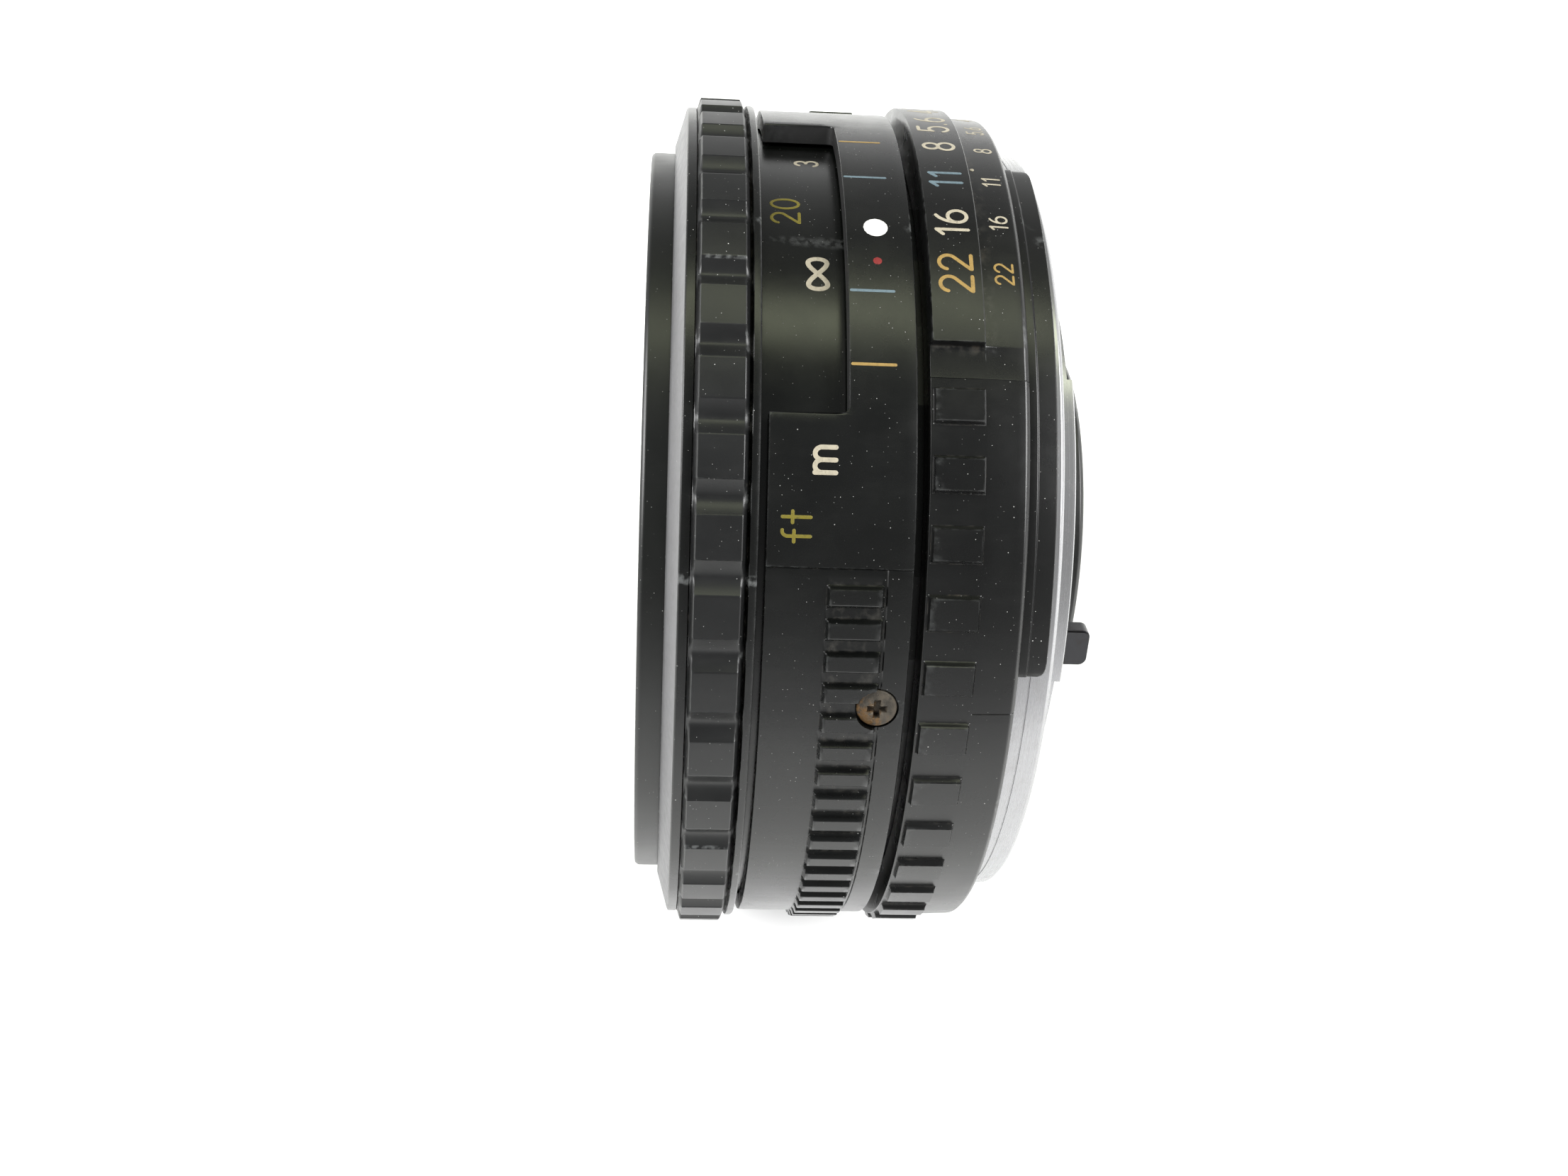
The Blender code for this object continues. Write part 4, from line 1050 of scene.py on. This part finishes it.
class Marks:
    """Gathers strokes of one colour on one body into one piece."""

    def __init__(self, name, look, body="barrel", slot="black_plastic"):
        self.name, self.look, self.body, self.slot = name, look, body, slot
        self.co, self.faces = [], []

    def stroke(self, points, wide, radius_at, angle, y):
        co, faces = stroke_mesh(points, wide / 2, radius_at, angle, y)
        base = len(self.co)
        self.co += co
        self.faces += [tuple(base + i for i in f) for f in faces]

    def text(self, words, angle, y, high, wide, radius_at, gap=0.26):
        long = sum(GLYPHS[c][0] for c in words) + gap * (len(words) - 1)
        at = -long / 2
        for c in words:
            width, strokes = GLYPHS[c]
            for points in strokes:
                moved = [((at + x) * high, (v - 0.5) * high) for x, v in points]
                self.stroke(moved, wide, radius_at, angle, y)
            at += width + gap

    def dot(self, angle, y, diameter, radius_at):
        self.stroke([(-0.001, 0), (0.001, 0)], diameter, radius_at, angle, y)

    def done(self):
        obj = mesh_object(self.name, np.array(self.co), self.faces, 50.0)
        return fit_out(obj, self.look, self.body, self.slot)


def make_marks():
    def flat(radius):
        return lambda y: radius

    cover, sleeve, panel = flat(COVER_R), flat(SLEEVE_R), flat(PANEL_R)
    white = Marks("distance_marks_metres", WHITE, "focus_assembly", "black_metal")
    white.stroke([(1.25 * math.cos(t), 0.62 * math.sin(2 * t)) for t in np.linspace(0, math.tau, 60)],
                 0.33, sleeve, 5.2, -15.9)
    metres = (("3", -18.9), ("1.5", -44.0), ("1", -71.0), ("0.8", -94.0), ("0.7", -110.0), ("0.6", -134.0))
    for words, angle in metres:
        white.text(words, angle, -16.2, 1.55, 0.22, sleeve)
    white.done()
    yellow = Marks("distance_marks_feet", YELLOW, "focus_assembly", "black_metal")
    feet = (("20", -6.2), ("7", -29.0), ("5", -43.0), ("4", -57.0), ("3", -80.0), ("2.5", -99.0),
            ("2", -131.0))
    for words, angle in feet:
        yellow.text(words, angle, -17.9, 1.85, 0.21, sleeve)
    yellow.done()

    for name, look, angle, diameter in (
            ("index_dot", DOT_WHITE, 0.0, 1.6), ("infrared_dot", RED, 5.4, 0.58)):
        marks = Marks(name, look)
        marks.dot(angle, -12.2, diameter, cover)
        marks.done()
    for name, look, angle in (("depth_lines_blue", BLUE, 9.8), ("depth_lines_orange", ORANGE, 19.5)):
        marks = Marks(name, look)
        for side in (-1, 1):
            marks.stroke([(0, -1.35), (0, 1.35)], 0.2, cover, side * angle, -12.6)
        marks.done()
    for words, look, angle, y, high, wide in (
            ("m", WHITE, 31.0, -15.6, 1.3, 0.30), ("ft", YELLOW, 38.7, -17.3, 1.75, 0.22)):
        marks = Marks(f"unit_mark_{words}", look)
        marks.text(words, angle, y, high, wide, cover, gap=0.24)
        marks.done()

    stops = (("22", 7.6, 6.7), ("16", -0.3, -1.65), ("11", -8.5, -9.8), ("8", -16.7, -18.3),
             ("5.6", -24.9, -26.6), ("4", -33.1, -34.9), ("2.8", -41.2, -43.2), ("1.8", -50.9, -51.5))
    groups = {
        "22": Marks("aperture_marks_orange", ORANGE, "aperture_assembly"),
        "11": Marks("aperture_marks_blue", BLUE, "aperture_assembly"),
        "": Marks("aperture_marks_white", WHITE, "aperture_assembly"),
    }
    for words, large_at, small_at in stops:
        group = groups.get(words, groups[""])
        group.text(words, large_at, -7.3, 2.08, 0.25, panel)
        small = groups["22" if words == "22" else ""]
        small.text(words, small_at, -4.05, 1.17, 0.15, skirt_radius)
    groups[""].dot(-12.5, -5.2, 0.30, flat(SKIRT_R))
    for group in groups.values():
        group.done()


# ---------------- carried CAD nodes

NODE_LOOKS = {
    ALUMINIUM: ("inner_helicoid", "guide_key_1", "guide_key_2"),
    BRASS: ("focus_helicoid", "helicoid_nut"),
    ANODISED: ("main_barrel", "front_cell"),
    INNER_BLACK: ("front_spacer", "block_retaining_ring", "rear_spacer", "rear_retaining_ring"),
    BLACK_STEEL: ("iris_driver_ring",) + tuple(f"iris_blade_{k}" for k in range(1, BLADES + 1)),
    STEEL: ("focus_stop_pin", "detent_ball", "detent_spring"),
}


def dress_nodes():
    for look, names in NODE_LOOKS.items():
        for name in names:
            node = frame["nodes"][name]
            node.data.materials.clear()
            node.data.materials.append(look)


# ---------------- stage


def make_floor():
    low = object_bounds()[0].z
    bm = bmesh.new()
    bmesh.ops.create_grid(bm, x_segments=8, y_segments=8, size=0.45)
    bmesh.ops.translate(bm, vec=(0, 0, low), verts=bm.verts)
    mesh = bpy.data.meshes.new("studio_floor")
    bm.to_mesh(mesh)
    bm.free()
    obj = link("studio_floor", mesh)
    look = Look("floor_paper", roughness=0.9)
    look.shader.inputs["Specular IOR Level"].default_value = 0.0
    look.finish(look.mix(look.noise(0.01, 2), (0.90, 0.90, 0.90), (0.92, 0.92, 0.92)))
    obj.data.materials.append(look.material)


def make_light(name, place, target, size, power, color=(1, 1, 1)):
    data = bpy.data.lights.new(name, "AREA")
    data.shape = "RECTANGLE"
    data.size, data.size_y = size
    data.energy = power
    data.color = color
    obj = link(name, data)
    obj.location = place
    toward = Vector(target) - Vector(place)
    obj.rotation_euler = toward.to_track_quat("-Z", "Y").to_euler()
    obj.visible_camera = False


def make_stage():
    make_floor()
    for name, y in (("soft_front", -0.62), ("soft_rear", 0.62)):
        make_light(name, (0.05, y, 0.50), (0, -0.01, 0), (0.55, 0.45), 10.0)
    make_light("soft_top", (-0.195, -0.02, 0.60), (-0.01, -0.02, 0.02), (0.60, 0.15), 0.85,
               (0.94, 1.0, 0.70))
    world = bpy.data.worlds.new("studio")
    bpy.context.scene.world = world
    world.use_nodes = True
    tree = world.node_tree
    coord = tree.nodes.new("ShaderNodeTexCoord")
    parts = tree.nodes.new("ShaderNodeSeparateXYZ")
    tree.links.new(coord.outputs["Generated"], parts.inputs[0])
    ramp = tree.nodes.new("ShaderNodeValToRGB")
    ramp.color_ramp.elements[0].color = (1.15, 1.15, 1.15, 1)
    ramp.color_ramp.elements[1].color = (0.22, 0.23, 0.23, 1)
    for position, level in ((0.12, 1.05), (0.29, 0.62), (0.50, 0.38), (0.72, 0.24)):
        ramp.color_ramp.elements.new(position).color = (level, level * 1.01, level, 1)
    tree.links.new(parts.outputs[2], ramp.inputs[0])
    back = tree.nodes["Background"]
    tree.links.new(ramp.outputs[0], back.inputs["Color"])
    back.inputs["Strength"].default_value = 1.0


def make_camera():
    """The camera, from its direction round the lens and its distance."""
    theta = math.radians(35.04)
    out = Vector((math.sin(theta), 0, math.cos(theta)))
    across = Vector((math.cos(theta), 0, -math.sin(theta)))
    axis = Vector((0, 1, 0))
    right = (0.99720 * axis + 0.07049 * out - 0.02501 * across).normalized()
    forward = (0.07051 * axis - 0.99751 * out).normalized()
    up = right.cross(forward).normalized()
    right = forward.cross(up)
    data = bpy.data.cameras.new("camera")
    data.lens = 39.06
    data.sensor_width = 36.0
    data.sensor_fit = "HORIZONTAL"
    data.clip_start, data.clip_end = 0.005, 20.0
    obj = link("camera", data)
    turn = Matrix((right, up, -forward)).transposed().to_4x4()
    obj.matrix_world = Matrix.Translation(Vector((82.41, -25.345, 107.46)) * MM) @ turn
    bpy.context.scene.camera = obj


make_filter_ring()
make_name_ring()
make_front_retaining_ring()
make_focus_ring()
make_distance_sleeve()
make_cover()
make_screws()
make_aperture_ring()
make_bayonet()
make_rear_cell()
make_rear_baffle()
make_iris_housing()
make_stop_down()
make_glass()
make_marks()
dress_nodes()
make_stage()
make_camera()
bpy.context.scene.view_settings.view_transform = "Standard"
